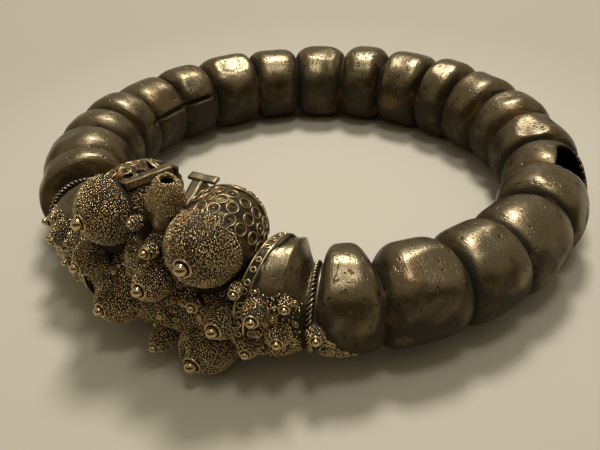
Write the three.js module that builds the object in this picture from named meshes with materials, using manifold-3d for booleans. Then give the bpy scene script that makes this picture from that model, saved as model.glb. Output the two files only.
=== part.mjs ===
// A lobed silver bracelet: a hollow tube beaten into a ring of round lobes, closed by a clasp that
// carries two big pods, two ring-punched plates and a cluster of granulated bosses with ball tips.
// Millimetres, +Z up. The bracelet lies on its clasp's lowest boss and on the worn underside of the
// hoop's back; the clasp is towards -Y. The tube of thin sheet is modelled solid.
import * as THREE from 'three';
import { mergeVertices } from 'three/addons/utils/BufferGeometryUtils.js';
import { ParametricGeometry } from 'three/addons/geometries/ParametricGeometry.js';
import Module from 'manifold-3d';

const wasm = await Module();
wasm.setup();

// The hoop: its centre line, its tube, and the valleys between its lobes
const hoopRadius = 39;
const tubeRadius = 7.15;
const tubeUnevenness = 0.12;
const unevennessTurn = 2.3;
const valleyDepthOutside = 1.1;
const valleyDepthInside = 2.1;
const deepestValleySide = 150;
const valleySharpness = 4;
const tubeSides = 12;
// Length of each beaten lobe along the centre line, from the right collar round the back to the left
const lobeLengths = [7.0, 11.0, 9.7, 11.4, 9.9, 9.6, 9.9, 9.1, 9.5, 8.5, 10.4, 9.0, 10.2, 9.8, 10.8,
  9.5, 10.1, 7.7, 8.2, 9.5, 6.1];
const lobeStations = [0, 0.1, 0.3, 0.7, 0.9];
// How far each lobe swells past the tube on its upper side, in the same order
const lobeSwells = [0.9, 0.1, 0, -0.3, 0.2, -0.3, 0.1, 0.9, 1.3, 1.3, 1.1, 0.9, 0.4, 0.2, 0.1, 0.1, 0.2,
  0.6, 1.1, 1.4, 1.4];
const rightCollarSwell = 1.2;
const leftCollarSwell = 0.6;
const swollenSide = 100;
const swellSharpness = 1.5;

// The hoop's two ends and the clasp's core between them, measured along the centre line
const rightEnd = 11.6;
const leftEnd = -15;
const rightCollar = 18.2;
const leftCollar = -27.8;
const collarSeat = 1.1;
const endSlant = 0.34;
const rightGap = 1.5;
const coreSlant = 0.2;
const leftSeam = 0.3;
const coreInset = 0.45;

// Clearance between pieces that touch on the real bracelet
const clearance = 0.3;

// Hole torn in the outer wall and the sprung seam inside the back
const hole = { angle: 104, around: 48, length: 9.5, height: 9, depth: 3.2 };
const seam = { from: -84, to: -114, around: 157, width: 0.9, depth: 1.3 };

// Wires and ragged bands that border the collars
const wireThickness = 1.1;
const bandWidth = 2.6;
const bandThickness = 0.6;
const bandProud = 0.2;
const bandPlay = 0.12;
const bandRamp = 0.04;
const bandNotches = 7;
const notchDepth = 0.8;

// Each place on the clasp: along the hoop, around the tube from its outer side, lift off the tube
const pods = [
  { side: 'right', along: 5.6, around: 92, lift: 2.6, half: [5.4, 6.9, 5.4],
    front: { along: 5.2, around: 71, lift: 3.5, radius: 5.2, height: 5.4, ball: 0.85, lean: -6 } },
  { side: 'left', along: -9.2, around: 93, lift: 3, half: [4.5, 7.4, 5.0],
    front: { along: -9.1, around: 73, lift: 4.2, radius: 4.9, height: 5.0, ball: 0.8, lean: -4 } },
];
// The plates: heights over the tube's top and places outwards from the tube's centre
const plate = { lift: 0.7, frontEdge: 3.4, lowEdge: 1.05, rimOut: -4, rimWidth: 0.9, rimHeight: 0.35 };
const openCone = { along: -2.8, around: 88, lift: 1.3, radius: 2.9, height: 9, rise: 84, lean: 13,
  bore: 0.9, boreDepth: 2.5 };
const saddle = { along: -1.6, out: 1.8, depth: 2.35, half: [6.5, 5.0, 5.4] };

// Bosses: radius and height of the dome, radius of its ball, rise above level, lean towards +X
const bosses = [
  { name: 'middle', along: -0.4, around: 38, lift: 0.7, radius: 2.5, height: 3.6, ball: 0.7, rise: 8 },
  { name: 'left_upper', along: -10.8, around: 35, lift: -0.3, radius: 2.7, height: 3.6, ball: 0.65,
    rise: -8 },
  { name: 'right_upper', along: 8.1, around: 12, lift: -1.1, radius: 2.4, height: 3.4, ball: 0.75,
    rise: 3, lean: -10 },
  { name: 'left_lower', along: -7.1, around: -17, lift: -1.7, radius: 3.6, height: 4.3, ball: 0.65, rise: 2 },
  { name: 'right_lower', along: 5.2, around: -47, lift: -0.4, radius: 4.1, height: 4.4, ball: 0.85,
    rise: -8, lean: -9 },
  { name: 'bottom', along: -0.6, around: -45, lift: 0, radius: 1.8, height: 3.2, ball: 0.5, rise: -6 },
  { name: 'right_a', along: 11.7, around: 30, lift: 0.5, radius: 1.75, height: 2.7, ball: 0.6 },
  { name: 'right_b', along: 14.1, around: 4, lift: -0.9, radius: 1.9, height: 2.6, ball: 0.55, rise: -5 },
  { name: 'right_c', along: 10.8, around: -16, lift: -0.3, radius: 1.6, height: 2.4, ball: 0.5 },
  { name: 'right_d', along: 14.9, around: 38, lift: 0.9, radius: 0.85, height: 1.6, ball: 0.45 },
  { name: 'right_e', along: 9.7, around: 46, lift: 2, radius: 0.85, height: 1.6, ball: 0.45 },
  { name: 'right_f', along: 18.1, around: 4, lift: -0.7, radius: 1.3, height: 1.9, ball: 0.5 },
  { name: 'left_a', along: -19, around: 29, lift: -1, radius: 2.2, height: 2.7, ball: 0.5, rise: -14 },
  { name: 'left_b', along: -22.2, around: 10, lift: -1.4, radius: 0.9, height: 1.8, ball: 0.5, rise: -10 },
  { name: 'left_c', along: -23.8, around: 22, lift: -0.8, radius: 0.9, height: 1.5, ball: 0.45 },
  { name: 'left_d', along: -21.5, around: 38, lift: -0.3, radius: 0.9, height: 1.3, ball: 0.45 },
  { name: 'left_e', along: -16.3, around: 3, lift: -1.2, radius: 1, height: 1.8, ball: 0.45, rise: -5 },
  { name: 'knob_left', along: -3.2, around: 68, lift: 5.6, radius: 1, height: 1.4, ball: 0.4, rise: 20 },
  { name: 'knob_middle', along: -0.4, around: 57, lift: 4.2, radius: 1, height: 1.6, ball: 0.5, rise: 10 },
  { name: 'knob_front', along: 5, around: 27, lift: 0.8, radius: 0.8, height: 1.2, ball: 0.5 },
  { name: 'knob_low', along: 0.6, around: 2, lift: -0.5, radius: 0.8, height: 1, ball: 0.4 },
];
// The lowest boss, straight under the clasp, whose tip is worn flat where the bracelet lies on it
const foot = { name: 'foot', along: -8, around: -92, lift: -1.4, radius: 3.1, height: 3.1, ball: 0.6,
  rise: -88 };
const footWear = 0.73;
const rootReach = 4.2;
const rootShare = 0.85;
const ringShare = 1.45;
const ballRise = 1.55;
const bigBoss = 3;
const smallBoss = 1.5;
const podSides = 12;
const bossSides = { big: 12, middling: 8, small: 6 };

// Two bent border strips that have sprung from the plates, their ends' heights over the tube's top
const strips = [
  { side: 'right', from: { along: 0.2, out: -5.3, height: 6.95 }, to: { along: 1.4, out: 1.5, height: 5.75 },
    tab: 3.2 },
  { side: 'left', from: { along: -5.2, out: -5, height: 7.6 }, to: { along: -6.7, out: 2.7, height: 8 },
    tab: 0 },
];
const stripWidth = 1.5;
const stripThickness = 0.6;

// Wear of the hoop's underside at the back, where it lies on the ground
const backWear = 0.1;
const footOut = 5;

const silver = { color: 0x6f6757, roughness: 0.38, metalness: 1 };
const dirtySilver = { color: 0x5a5140, roughness: 0.5, metalness: 1 };

const radians = THREE.MathUtils.degToRad;

// Frame of the hoop at a distance along its centre line: outward and forward directions
function hoopFrame(along) {
  const turn = along / hoopRadius;
  return {
    outward: new THREE.Vector3(Math.sin(turn), -Math.cos(turn), 0),
    forward: new THREE.Vector3(Math.cos(turn), Math.sin(turn), 0),
  };
}

function pointOnHoop(along, out, up) {
  const point = hoopFrame(along).outward.multiplyScalar(hoopRadius + out);
  point.z = up;
  return point;
}

function pointOnTube(along, around, lift) {
  const reach = tubeRadius + lift;
  return pointOnHoop(along, reach * Math.cos(radians(around)), reach * Math.sin(radians(around)));
}

// Matrix that stands a lathed or boxed form on a place, its own Y axis along the given axis
function standOn(point, axis, sideways) {
  const across = sideways.clone().addScaledVector(axis, -sideways.dot(axis)).normalize();
  const third = new THREE.Vector3().crossVectors(across, axis);
  return new THREE.Matrix4().makeBasis(across, axis, third).setPosition(point);
}

function bossAxis(along, rise = 0, lean = 0) {
  const { outward, forward } = hoopFrame(along);
  const axis = outward.multiplyScalar(Math.cos(radians(rise)));
  axis.z = Math.sin(radians(rise));
  return axis.multiplyScalar(Math.cos(radians(lean))).addScaledVector(forward, Math.sin(radians(lean)));
}

// Six times the volume inside a closed mesh, negative when its faces point inwards
function signedVolume(positions, triangles) {
  const [a, b, c] = [new THREE.Vector3(), new THREE.Vector3(), new THREE.Vector3()];
  let total = 0;
  for (let i = 0; i < triangles.length; i += 3) {
    [a, b, c].forEach((corner, k) => corner.fromArray(positions, 3 * triangles[i + k]));
    total += a.dot(b.cross(c));
  }
  return total;
}

// A closed three.js geometry as a solid that can be joined and cut
function solid(geometry) {
  const bare = geometry.index ? geometry.toNonIndexed() : geometry.clone();
  bare.deleteAttribute('normal');
  bare.deleteAttribute('uv');
  const merged = mergeVertices(bare, 1e-4);
  const positions = merged.attributes.position.array;
  const index = merged.index.array;
  const triangles = [];
  for (let i = 0; i < index.length; i += 3) {
    const [a, b, c] = [index[i], index[i + 1], index[i + 2]];
    if (a !== b && b !== c && c !== a) triangles.push(a, b, c);
  }
  if (signedVolume(positions, triangles) < 0) triangles.reverse();
  return new wasm.Manifold(new wasm.Mesh({
    numProp: 3,
    vertProperties: new Float32Array(positions),
    triVerts: new Uint32Array(triangles),
  }));
}

function placed(geometry, matrix) {
  return solid(geometry.applyMatrix4(matrix));
}

// Depth of a valley at an angle around the tube: deep on the inner side, shallow on the outer
function valleyDepth(around) {
  const mean = (valleyDepthInside + valleyDepthOutside) / 2;
  const swing = (valleyDepthInside - valleyDepthOutside) / 2;
  return mean + swing * Math.cos(radians(around - deepestValleySide));
}

// Share of a lobe's swelling at an angle around the tube: all of it on top, none of it below
function swollenShare(around) {
  return ((1 + Math.cos(radians(around - swollenSide))) / 2) ** swellSharpness;
}

// One collar lobe's cross-sections, from the hoop's end to the wire in the collar's valley
function collarSections(end, collar, swell, valleys) {
  const seatShare = (bandWidth + clearance) / Math.abs(collar - end);
  const seat = tubeRadius + bandProud - bandThickness - clearance - bandPlay;
  const stations = [[0, 0, seat, 0], [seatShare, 0, seat, 0], [seatShare + bandRamp, 0, tubeRadius, swell],
    ...valleys.map(([share, valley]) => [share, valley, tubeRadius, swell]),
    [1 - collarSeat / Math.abs(collar - end), 1, tubeRadius, 0], [1, 1, tubeRadius, 0]];
  return stations.map(([share, valley, crest, stationSwell]) => ({
    along: THREE.MathUtils.lerp(end, collar, share),
    slant: Math.sign(end) * endSlant * (1 - share),
    valley,
    crest,
    swell: stationSwell,
  }));
}

// Cross-sections of the whole hoop, from its right end round the back to its left end
function hoopSections() {
  const wholeTurn = 2 * Math.PI * hoopRadius;
  const stretch = (wholeTurn - rightCollar + leftCollar - 2 * collarSeat)
    / lobeLengths.reduce((sum, length) => sum + length, 0);
  const sections = collarSections(rightEnd, rightCollar, rightCollarSwell, [[0.6, 0.02], [0.74, 0.25]]);
  let along = rightCollar + collarSeat;
  lobeLengths.forEach((length, lobe) => {
    const crest = tubeRadius + tubeUnevenness * Math.sin(unevennessTurn * lobe);
    for (const share of lobeStations) {
      const valley = Math.abs(2 * share - 1) ** valleySharpness;
      sections.push({ along: along + share * length * stretch, slant: 0, valley, crest,
        swell: lobeSwells[lobe] });
    }
    along += length * stretch;
  });
  const leftSections = collarSections(leftEnd, leftCollar, leftCollarSwell,
    [[0.6, 0], [0.78, 0.05], [0.86, 0.3]]);
  sections.push({ along: wholeTurn + leftCollar - collarSeat, slant: 0, valley: 1, crest: tubeRadius,
    swell: 0 });
  for (const section of leftSections.reverse()) {
    sections.push({ ...section, along: section.along + wholeTurn });
  }
  return sections;
}

// A surface that closes at its seam, lofted through cross-sections and closed by a disc at each end
function loftedTube(sections, grow) {
  const first = { ...sections[0], along: sections[0].along - grow };
  const last = { ...sections.at(-1), along: sections.at(-1).along + grow };
  const rows = [{ ...first, disc: true }, first, ...sections.slice(1, -1), last, { ...last, disc: true }];
  const surface = (v, u, target) => {
    const row = rows[Math.round(u * (rows.length - 1))];
    const around = 360 * v + 180 / tubeSides - 90;
    const swelling = row.swell * (1 - row.valley) * swollenShare(around);
    const wall = row.crest + swelling - row.valley * valleyDepth(around) + grow;
    const reach = row.disc ? 0 : wall;
    const out = reach * Math.cos(radians(around));
    const up = reach * Math.sin(radians(around));
    target.copy(pointOnHoop(row.along - row.slant * out, out, up));
  };
  return solid(new ParametricGeometry(surface, tubeSides, rows.length - 1));
}

function ellipsoid(point, along, half, grow, segments) {
  const { outward, forward } = hoopFrame(along);
  const geometry = new THREE.SphereGeometry(1, segments, Math.round(segments * 0.6));
  geometry.scale(half[0] + grow, half[1] + grow, half[2] + grow);
  return placed(geometry, new THREE.Matrix4()
    .makeBasis(forward, outward, new THREE.Vector3(0, 0, 1)).setPosition(point));
}

// A block in the hoop's frame, given by its lowest and highest along, out and up
function block(along, outRange, upRange, halfWidth) {
  const { outward, forward } = hoopFrame(along);
  const geometry = new THREE.BoxGeometry(2 * halfWidth, outRange[1] - outRange[0], upRange[1] - upRange[0]);
  const centre = pointOnHoop(along, (outRange[0] + outRange[1]) / 2, (upRange[0] + upRange[1]) / 2);
  return placed(geometry, new THREE.Matrix4()
    .makeBasis(forward, outward, new THREE.Vector3(0, 0, 1)).setPosition(centre));
}

// The hoop: lobed tube with the hole torn in its wall and the sprung seam inside
function hoop(grow) {
  const tube = loftedTube(hoopSections(), grow);
  if (grow > 0) return tube;
  const holeAlong = radians(hole.angle) * hoopRadius;
  const holeCentre = pointOnTube(holeAlong, hole.around, 0);
  const tear = placed(new THREE.SphereGeometry(1, 10, 6).scale(hole.height / 2, hole.depth, hole.length / 2),
    standOn(holeCentre, tubeAxis(holeAlong, hole.around), new THREE.Vector3(0, 0, 1)));
  return tube.subtract(tear).subtract(seamGroove());
}

// Outward direction of the tube's wall at an angle around it
function tubeAxis(along, around) {
  const axis = hoopFrame(along).outward.multiplyScalar(Math.cos(radians(around)));
  axis.z = Math.sin(radians(around));
  return axis;
}

function seamGroove() {
  const steps = 6;
  const corners = [[-1, 1], [1, 1], [1, -1], [-1, -1]];
  const surface = (u, v, target) => {
    const step = THREE.MathUtils.clamp(Math.round(v * (steps + 2)) - 1, 0, steps);
    const along = radians(THREE.MathUtils.lerp(seam.from, seam.to, step / steps)) * hoopRadius;
    const inside = Math.round(v * (steps + 2)) === step + 1;
    const [high, deep] = inside ? corners[Math.round(u * 4) % 4] : [0, 0];
    const out = -Math.sqrt(tubeRadius ** 2 - seamHeight() ** 2) + deep * seam.depth;
    target.copy(pointOnHoop(along, out, seamHeight() + high * seam.width / 2));
  };
  return solid(new ParametricGeometry(surface, 4, steps + 2));
}

function seamHeight() {
  return tubeRadius * Math.sin(radians(seam.around));
}

// The clasp's core: a short plain tube under the cluster, raised to a saddle between the pods
function core(grow) {
  const start = leftEnd + leftSeam;
  const end = rightEnd - rightGap;
  const sections = [0, 0.25, 0.5, 0.75, 1].map((share) => ({
    along: THREE.MathUtils.lerp(start, end, share),
    slant: THREE.MathUtils.lerp(-endSlant, coreSlant, share),
    valley: 0,
    crest: tubeRadius - coreInset,
    swell: 0,
  }));
  const middle = pointOnHoop(saddle.along, saddle.out, tubeRadius - saddle.depth);
  const hump = ellipsoid(middle, saddle.along, saddle.half, grow, podSides);
  return loftedTube(sections, grow).add(hump);
}

// Outline of a boss from its base to the tip of its ball, with the wire ring that seats the ball
function bossProfile(boss, grow) {
  const ring = boss.ball * ringShare;
  const reachOfDome = Math.acos(Math.min(0.9, ring / boss.radius));
  const points = [[0, 0], [boss.radius, 0]];
  for (const share of boss.radius > smallBoss ? [0.4, 0.75, 1] : [1]) {
    const angle = share * reachOfDome;
    points.push([boss.radius * Math.cos(angle), boss.height * Math.sin(angle) / Math.sin(reachOfDome)]);
  }
  points.push([ring * 0.85, boss.height + boss.ball * 0.45]);
  points.push([boss.ball * 0.95, boss.height + boss.ball * 0.8]);
  points.push([0, boss.height + boss.ball * ballRise]);
  const top = points.at(-1)[1];
  return points.map(([radius, height]) => new THREE.Vector2(
    radius === 0 ? 0 : radius + grow,
    height - grow + 2 * grow * height / top,
  ));
}

function bossSolid(boss, grow) {
  const size = boss.radius > bigBoss ? 'big' : boss.radius > smallBoss ? 'middling' : 'small';
  const sides = bossSides[size];
  const point = pointOnTube(boss.along, boss.around, boss.lift);
  const forward = hoopFrame(boss.along).forward;
  const dome = placed(new THREE.LatheGeometry(bossProfile(boss, grow), sides),
    standOn(point, bossAxis(boss.along, boss.rise, boss.lean), forward));
  const radius = boss.radius * rootShare + grow;
  const root = new THREE.CylinderGeometry(radius, radius, rootReach, sides);
  root.translate(0, -rootReach / 2, 0);
  return dome.add(placed(root, standOn(point, tubeAxis(boss.along, boss.around), forward)));
}

// A pod: a long egg lying across the tube, its granulated front a dome with a ball tip
function pod(spec, grow) {
  const point = pointOnTube(spec.along, spec.around, spec.lift);
  const body = ellipsoid(point, spec.along, spec.half, grow, podSides);
  return body.add(bossSolid(spec.front, grow));
}

// A ring-punched plate over the back of a pod, with a folded rim standing along its top
function platePiece(spec, grow) {
  const point = pointOnTube(spec.along, spec.around, spec.lift);
  const lowEdge = tubeRadius + plate.lowEdge;
  const beyond = lowEdge + 2 * (spec.half[1] + spec.lift);
  const sheet = ellipsoid(point, spec.along, spec.half, plate.lift + grow, podSides)
    .intersect(block(spec.along, [-beyond, plate.frontEdge + grow], [lowEdge - grow, beyond], beyond));
  const halfRim = plate.rimWidth / 2 + grow;
  const rim = ellipsoid(point, spec.along, spec.half, plate.lift + plate.rimHeight + grow, podSides)
    .intersect(block(spec.along, [plate.rimOut - halfRim, plate.rimOut + halfRim], [lowEdge, beyond],
      beyond));
  return sheet.add(rim);
}

// The cone between the pods, open at its tip where its ball has gone
function cone(grow) {
  const point = pointOnTube(openCone.along, openCone.around, openCone.lift);
  const axis = bossAxis(openCone.along, openCone.rise, openCone.lean);
  const { radius, height, bore, boreDepth } = openCone;
  const outline = [[0, 0], [radius * 0.82, 0], [radius, height * 0.35], [radius * 0.86, height * 0.65],
    [radius * 0.6, height * 0.9], [bore * 1.35, height], [0, height]];
  const profile = outline.map(([across, up]) => new THREE.Vector2(
    across === 0 ? 0 : across + grow,
    up + (up > 0 ? grow : -grow),
  ));
  const matrix = standOn(point, axis, hoopFrame(openCone.along).forward);
  const body = placed(new THREE.LatheGeometry(profile, 12), matrix);
  if (grow > 0) return body;
  const hollow = new THREE.CylinderGeometry(bore, bore, 2 * boreDepth, 10).translate(0, height, 0);
  return body.subtract(placed(hollow, matrix));
}

// A wire laid round the tube in a collar's valley
function collarWire(along, grow) {
  const steps = 24;
  const sides = 5;
  const wireRadius = wireThickness / 2 + grow;
  const surface = (u, v, target) => {
    const around = 360 * u;
    const reach = tubeRadius - valleyDepth(around) + clearance + wireThickness / 2
      + wireRadius * Math.cos(2 * Math.PI * v);
    const out = reach * Math.cos(radians(around));
    const up = reach * Math.sin(radians(around));
    target.copy(pointOnHoop(along + wireRadius * Math.sin(2 * Math.PI * v), out, up));
  };
  return solid(new ParametricGeometry(surface, steps, sides));
}

// A ragged strip of thin sheet round the tube at one of the hoop's ends
function endBand(end, grow) {
  const steps = 3 * bandNotches;
  const towardsHoop = Math.sign(end);
  const corners = [[0, 0], [1, 0], [1, 1], [0, 1]];
  const surface = (u, v, target) => {
    const around = 360 * u;
    const [across, raised] = corners[Math.round(v * 4) % 4];
    const ragged = notchDepth * Math.abs(Math.sin(radians(around * bandNotches / 2 + 20)));
    const width = across * (bandWidth - ragged + grow) - (1 - across) * grow;
    const reach = tubeRadius + bandProud + (raised ? grow : -bandThickness - grow);
    const out = reach * Math.cos(radians(around));
    const up = reach * Math.sin(radians(around));
    const along = end + towardsHoop * (width - endSlant * out);
    target.copy(pointOnHoop(along, out, up));
  };
  return solid(new ParametricGeometry(surface, steps, 4));
}

// A sprung border strip, with a tab bent over at its end where it has one
function strip(spec, grow) {
  const [start, end] = [spec.from, spec.to]
    .map(({ along, out, height }) => pointOnHoop(along, out, tubeRadius + height));
  const axis = end.clone().sub(start);
  const length = axis.length();
  const forward = hoopFrame(spec.from.along).forward;
  const matrix = standOn(start, axis.normalize(), forward);
  const grown = 2 * grow;
  const bar = new THREE.BoxGeometry(stripWidth + grown, length + grown, stripThickness + grown);
  const body = placed(bar.translate(0, length / 2, 0), matrix);
  if (spec.tab === 0) return body;
  const flap = new THREE.BoxGeometry(spec.tab + grown, stripWidth + grown, stripThickness + grown);
  return body.add(placed(flap.translate(-spec.tab / 4, stripWidth / 2, 0), matrix));
}

// The largest body of a solid that cutting has left in pieces
function largest(whole) {
  return whole.decompose().reduce((best, part) => (part.volume() > best.volume() ? part : best));
}

// Every piece in the order of fitting: each later piece makes room for the earlier ones
const pieces = [
  { name: 'hoop', make: hoop, material: silver },
  { name: 'clasp_core', make: core, material: dirtySilver },
  ...pods.map((spec) => ({
    name: `pod_${spec.side}`, make: (grow) => pod(spec, grow), material: dirtySilver,
  })),
  { name: 'open_cone', make: cone, material: dirtySilver },
  { name: 'end_band_right', make: (grow) => endBand(rightEnd, grow), material: dirtySilver },
  { name: 'end_band_left', make: (grow) => endBand(leftEnd, grow), material: dirtySilver },
  ...pods.map((spec) => ({
    name: `ring_plate_${spec.side}`, make: (grow) => platePiece(spec, grow), material: dirtySilver,
  })),
  ...strips.map((spec) => ({
    name: `border_strip_${spec.side}`, make: (grow) => strip(spec, grow), material: silver,
  })),
  ...[...bosses, foot].map((boss) => ({
    name: `boss_${boss.name}`, make: (grow) => bossSolid(boss, grow), material: dirtySilver,
  })),
  { name: 'twisted_wire_right', make: (grow) => collarWire(rightCollar, grow), material: silver },
  { name: 'twisted_wire_left', make: (grow) => collarWire(leftCollar, grow), material: silver },
];

// The ground the bracelet lies on, as a plane in the hoop's own frame
const backFoot = tubeRadius * Math.cos(Math.PI / tubeSides) - backWear;
const claspFoot = tubeRadius + foot.lift + foot.height + ballRise * foot.ball - footWear;
const lie = Math.atan((claspFoot - backFoot) / (2 * hoopRadius + footOut));
const groundWidth = 8 * (hoopRadius + tubeRadius);
const groundThickness = 4 * tubeRadius;
const ground = placed(
  new THREE.BoxGeometry(groundWidth, groundWidth, groundThickness).translate(0, 0, -groundThickness / 2),
  new THREE.Matrix4().makeRotationX(lie).setPosition(0, hoopRadius, -backFoot),
);

function meshOf(name, piece, look) {
  const { vertProperties, triVerts } = piece.getMesh();
  const geometry = new THREE.BufferGeometry();
  geometry.setAttribute('position', new THREE.BufferAttribute(vertProperties, 3));
  geometry.setIndex(new THREE.BufferAttribute(triVerts, 1));
  const shaded = geometry.toNonIndexed();
  shaded.computeVertexNormals();
  const mesh = new THREE.Mesh(shaded, new THREE.MeshStandardMaterial(look));
  mesh.name = name;
  return mesh;
}

const bracelet = new THREE.Group();
const earlier = [];
for (const { name, make, material } of pieces) {
  const room = earlier.length ? wasm.Manifold.union(earlier) : null;
  const whole = room ? make(0).subtract(room) : make(0);
  bracelet.add(meshOf(name, largest(whole.subtract(ground)), material));
  earlier.push(make(clearance));
}

// Lay the bracelet level on the ground, with the origin under the middle of its box
bracelet.rotation.x = -lie;
const lying = new THREE.Group();
lying.add(bracelet);
lying.updateMatrixWorld(true);
const box = new THREE.Box3().setFromObject(lying, true);
const middle = box.getCenter(new THREE.Vector3());
lying.position.set(-middle.x, -middle.y, -box.min.z);

export default lying;
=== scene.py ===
# %% [markdown]
# # A lobed silver bracelet with a boss-covered clasp
# The real bracelet is a tube of thin silver sheet, beaten into a ring of round lobes. Its clasp is
# crusted with hollow domes, each covered with soldered granules and tipped with a ball in a wire ring.
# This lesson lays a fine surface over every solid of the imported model, one piece at a time.

# %% Load the frame
import bpy
import numpy as np
from mathutils import Matrix, Vector


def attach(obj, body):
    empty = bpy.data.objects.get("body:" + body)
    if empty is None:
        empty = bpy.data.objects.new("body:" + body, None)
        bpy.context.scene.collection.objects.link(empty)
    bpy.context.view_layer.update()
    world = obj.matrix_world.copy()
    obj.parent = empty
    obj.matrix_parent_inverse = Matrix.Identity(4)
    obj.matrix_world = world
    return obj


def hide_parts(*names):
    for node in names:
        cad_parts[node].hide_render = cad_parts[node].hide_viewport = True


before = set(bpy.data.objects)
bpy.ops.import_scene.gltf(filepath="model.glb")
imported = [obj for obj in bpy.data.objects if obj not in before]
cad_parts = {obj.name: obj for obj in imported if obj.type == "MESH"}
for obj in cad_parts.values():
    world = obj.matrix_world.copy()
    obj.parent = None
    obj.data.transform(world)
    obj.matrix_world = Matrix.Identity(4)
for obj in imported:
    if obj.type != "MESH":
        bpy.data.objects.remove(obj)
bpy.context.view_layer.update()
print("solids in the frame:", len(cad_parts))

# %% [markdown]
# ## The hoop's own frame
# Every shape is worked out in millimetres in the hoop's frame: a distance along its centre line, an
# angle around the tube from its outer side, and a reach from the tube's middle. The bracelet lies
# slightly tilted on its lowest boss, so one last step lays the points down and turns them to metres.

# %% Sizes of the hoop and how it lies
HOOP_RADIUS = 39.0
TUBE_RADIUS = 7.15
WHOLE_TURN = 2 * np.pi * HOOP_RADIUS
LIE = np.radians(-1.5484)
HOOP_CENTRE = np.array([-0.032, 1.914, 7.858])
MILLIMETRE = 0.001


def directions(along):
    """Outward and forward unit vectors: the angle along/HOOP_RADIUS is counted from -Y towards +X."""
    turn = np.asarray(along, float) / HOOP_RADIUS
    flat = np.zeros_like(turn)
    outward = np.stack([np.sin(turn), -np.cos(turn), flat], -1)
    forward = np.stack([np.cos(turn), np.sin(turn), flat], -1)
    return outward, forward


def on_hoop(along, out, up):
    """Point = outward direction times (HOOP_RADIUS + out), raised by up."""
    along, out, up = np.broadcast_arrays(np.asarray(along, float), out, up)
    point = directions(along)[0] * (HOOP_RADIUS + out)[..., None]
    point[..., 2] = up
    return point


def on_tube(along, around, reach):
    """Point on a circle of radius reach about the tube's middle; around is in degrees from outside."""
    around = np.radians(around)
    return on_hoop(along, reach * np.cos(around), reach * np.sin(around))


def on_leaning(along, around, reach, slant):
    """Point on a ring of the tube that leans: it moves back along the hoop by slant times its way out."""
    return on_tube(along - slant * reach * np.cos(np.radians(around)), around, reach)


def tube_normal(along, around):
    """Direction straight out of the tube's wall."""
    outward = directions(along)[0]
    around = np.radians(around)
    return outward * np.cos(around) + np.array([0, 0, 1.0]) * np.sin(around)


def laid(points):
    """Millimetres to metres, turned by LIE about X and moved to its place; the underside is worn flat."""
    cos, sin = np.cos(LIE), np.sin(LIE)
    turned = points @ np.array([[1, 0, 0], [0, cos, sin], [0, -sin, cos]])
    lying = turned + HOOP_CENTRE
    lying[..., 2] = np.maximum(lying[..., 2], 0)
    return lying * MILLIMETRE


# %% [markdown]
# ## The camera
# The photograph looks down at about 28 degrees from close by, a little to the right of the clasp. The
# camera stands in the hoop's frame and is laid down with it, so it keeps its view of the bracelet.

# %% Camera
VIEW_TURN = np.radians(26.5)
VIEW_RISE = np.radians(28.06)
VIEW_DISTANCE = 137.7
TARGET_RIGHT = -2.64
TARGET_UP = -10.5
CAMERA_ROLL = np.radians(-0.73)
LENS = 46.64


def camera_axes():
    """Right, up and back vectors of the camera and its place, all in the hoop's frame."""
    right = np.array([np.cos(VIEW_TURN), np.sin(VIEW_TURN), 0])
    level_back = np.array([np.sin(VIEW_TURN), -np.cos(VIEW_TURN), 0])
    back = level_back * np.cos(VIEW_RISE) + np.array([0, 0, np.sin(VIEW_RISE)])
    up = np.cross(back, right)
    place = back * VIEW_DISTANCE
    look = right * TARGET_RIGHT + up * TARGET_UP - place
    look /= np.linalg.norm(look)
    level = np.cross(look, [0, 0, 1.0])
    level /= np.linalg.norm(level)
    top = np.cross(level, look)
    cos, sin = np.cos(CAMERA_ROLL), np.sin(CAMERA_ROLL)
    return cos * level + sin * top, -sin * level + cos * top, -look, place


cam_right, cam_up, cam_back, cam_place = camera_axes()
spread = laid(np.stack([cam_place, cam_place + cam_right, cam_place + cam_up, cam_place + cam_back]))
axes = (spread[1:] - spread[0]) / MILLIMETRE
camera_data = bpy.data.cameras.new("photo_view")
camera_data.lens = LENS
camera_data.sensor_width = 36
camera_data.clip_start = 0.005
camera = bpy.data.objects.new("photo_view", camera_data)
camera.matrix_world = Matrix.Translation(Vector(spread[0])) @ Matrix(axes.T.tolist()).to_4x4()
bpy.context.scene.collection.objects.link(camera)
bpy.context.scene.camera = camera
print("camera at", np.round(spread[0], 4))

# %% [markdown]
# ## Meshes from arrays
# A surface is a grid of points worked out as one array. Small helpers turn grids into faces, join
# them, and write points, faces and a few masks straight into a mesh.

# %% Mesh helpers


def grid_faces(rows, columns, closed=False):
    """Quads of a grid, row by row; a closed grid joins its last column to its first."""
    row = np.arange(rows - 1)[:, None]
    column = np.arange(columns if closed else columns - 1)[None, :]
    beside = (column + 1) % columns
    corners = [row * columns + column, row * columns + beside,
               (row + 1) * columns + beside, (row + 1) * columns + column]
    return np.stack(np.broadcast_arrays(*corners), -1).reshape(-1, 4)


def face_edges(faces):
    """The four edges of every quad, each in its face's own direction."""
    return np.concatenate([faces[:, [corner, (corner + 1) % 4]] for corner in range(4)])


def patch(points, quads=None, tris=None, **masks):
    """A bundle of points, quads, triangles and masks; a mask is one number a point."""
    points = np.asarray(points, float).reshape(-1, 3)
    return {
        "points": points,
        "quads": np.zeros((0, 4), int) if quads is None else np.asarray(quads),
        "tris": np.zeros((0, 3), int) if tris is None else np.asarray(tris),
        "masks": {name: np.broadcast_to(np.asarray(value, float).ravel(), len(points))
                  if np.ndim(value) else np.full(len(points), float(value))
                  for name, value in masks.items()},
    }


# The wear and dirt masks carry real wear and dirt, and also painted shade: the hoop's darker underside, the
# core's neck and the inside of the tube.
MASKS = ("wear", "dirt", "stain", "polish")


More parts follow.
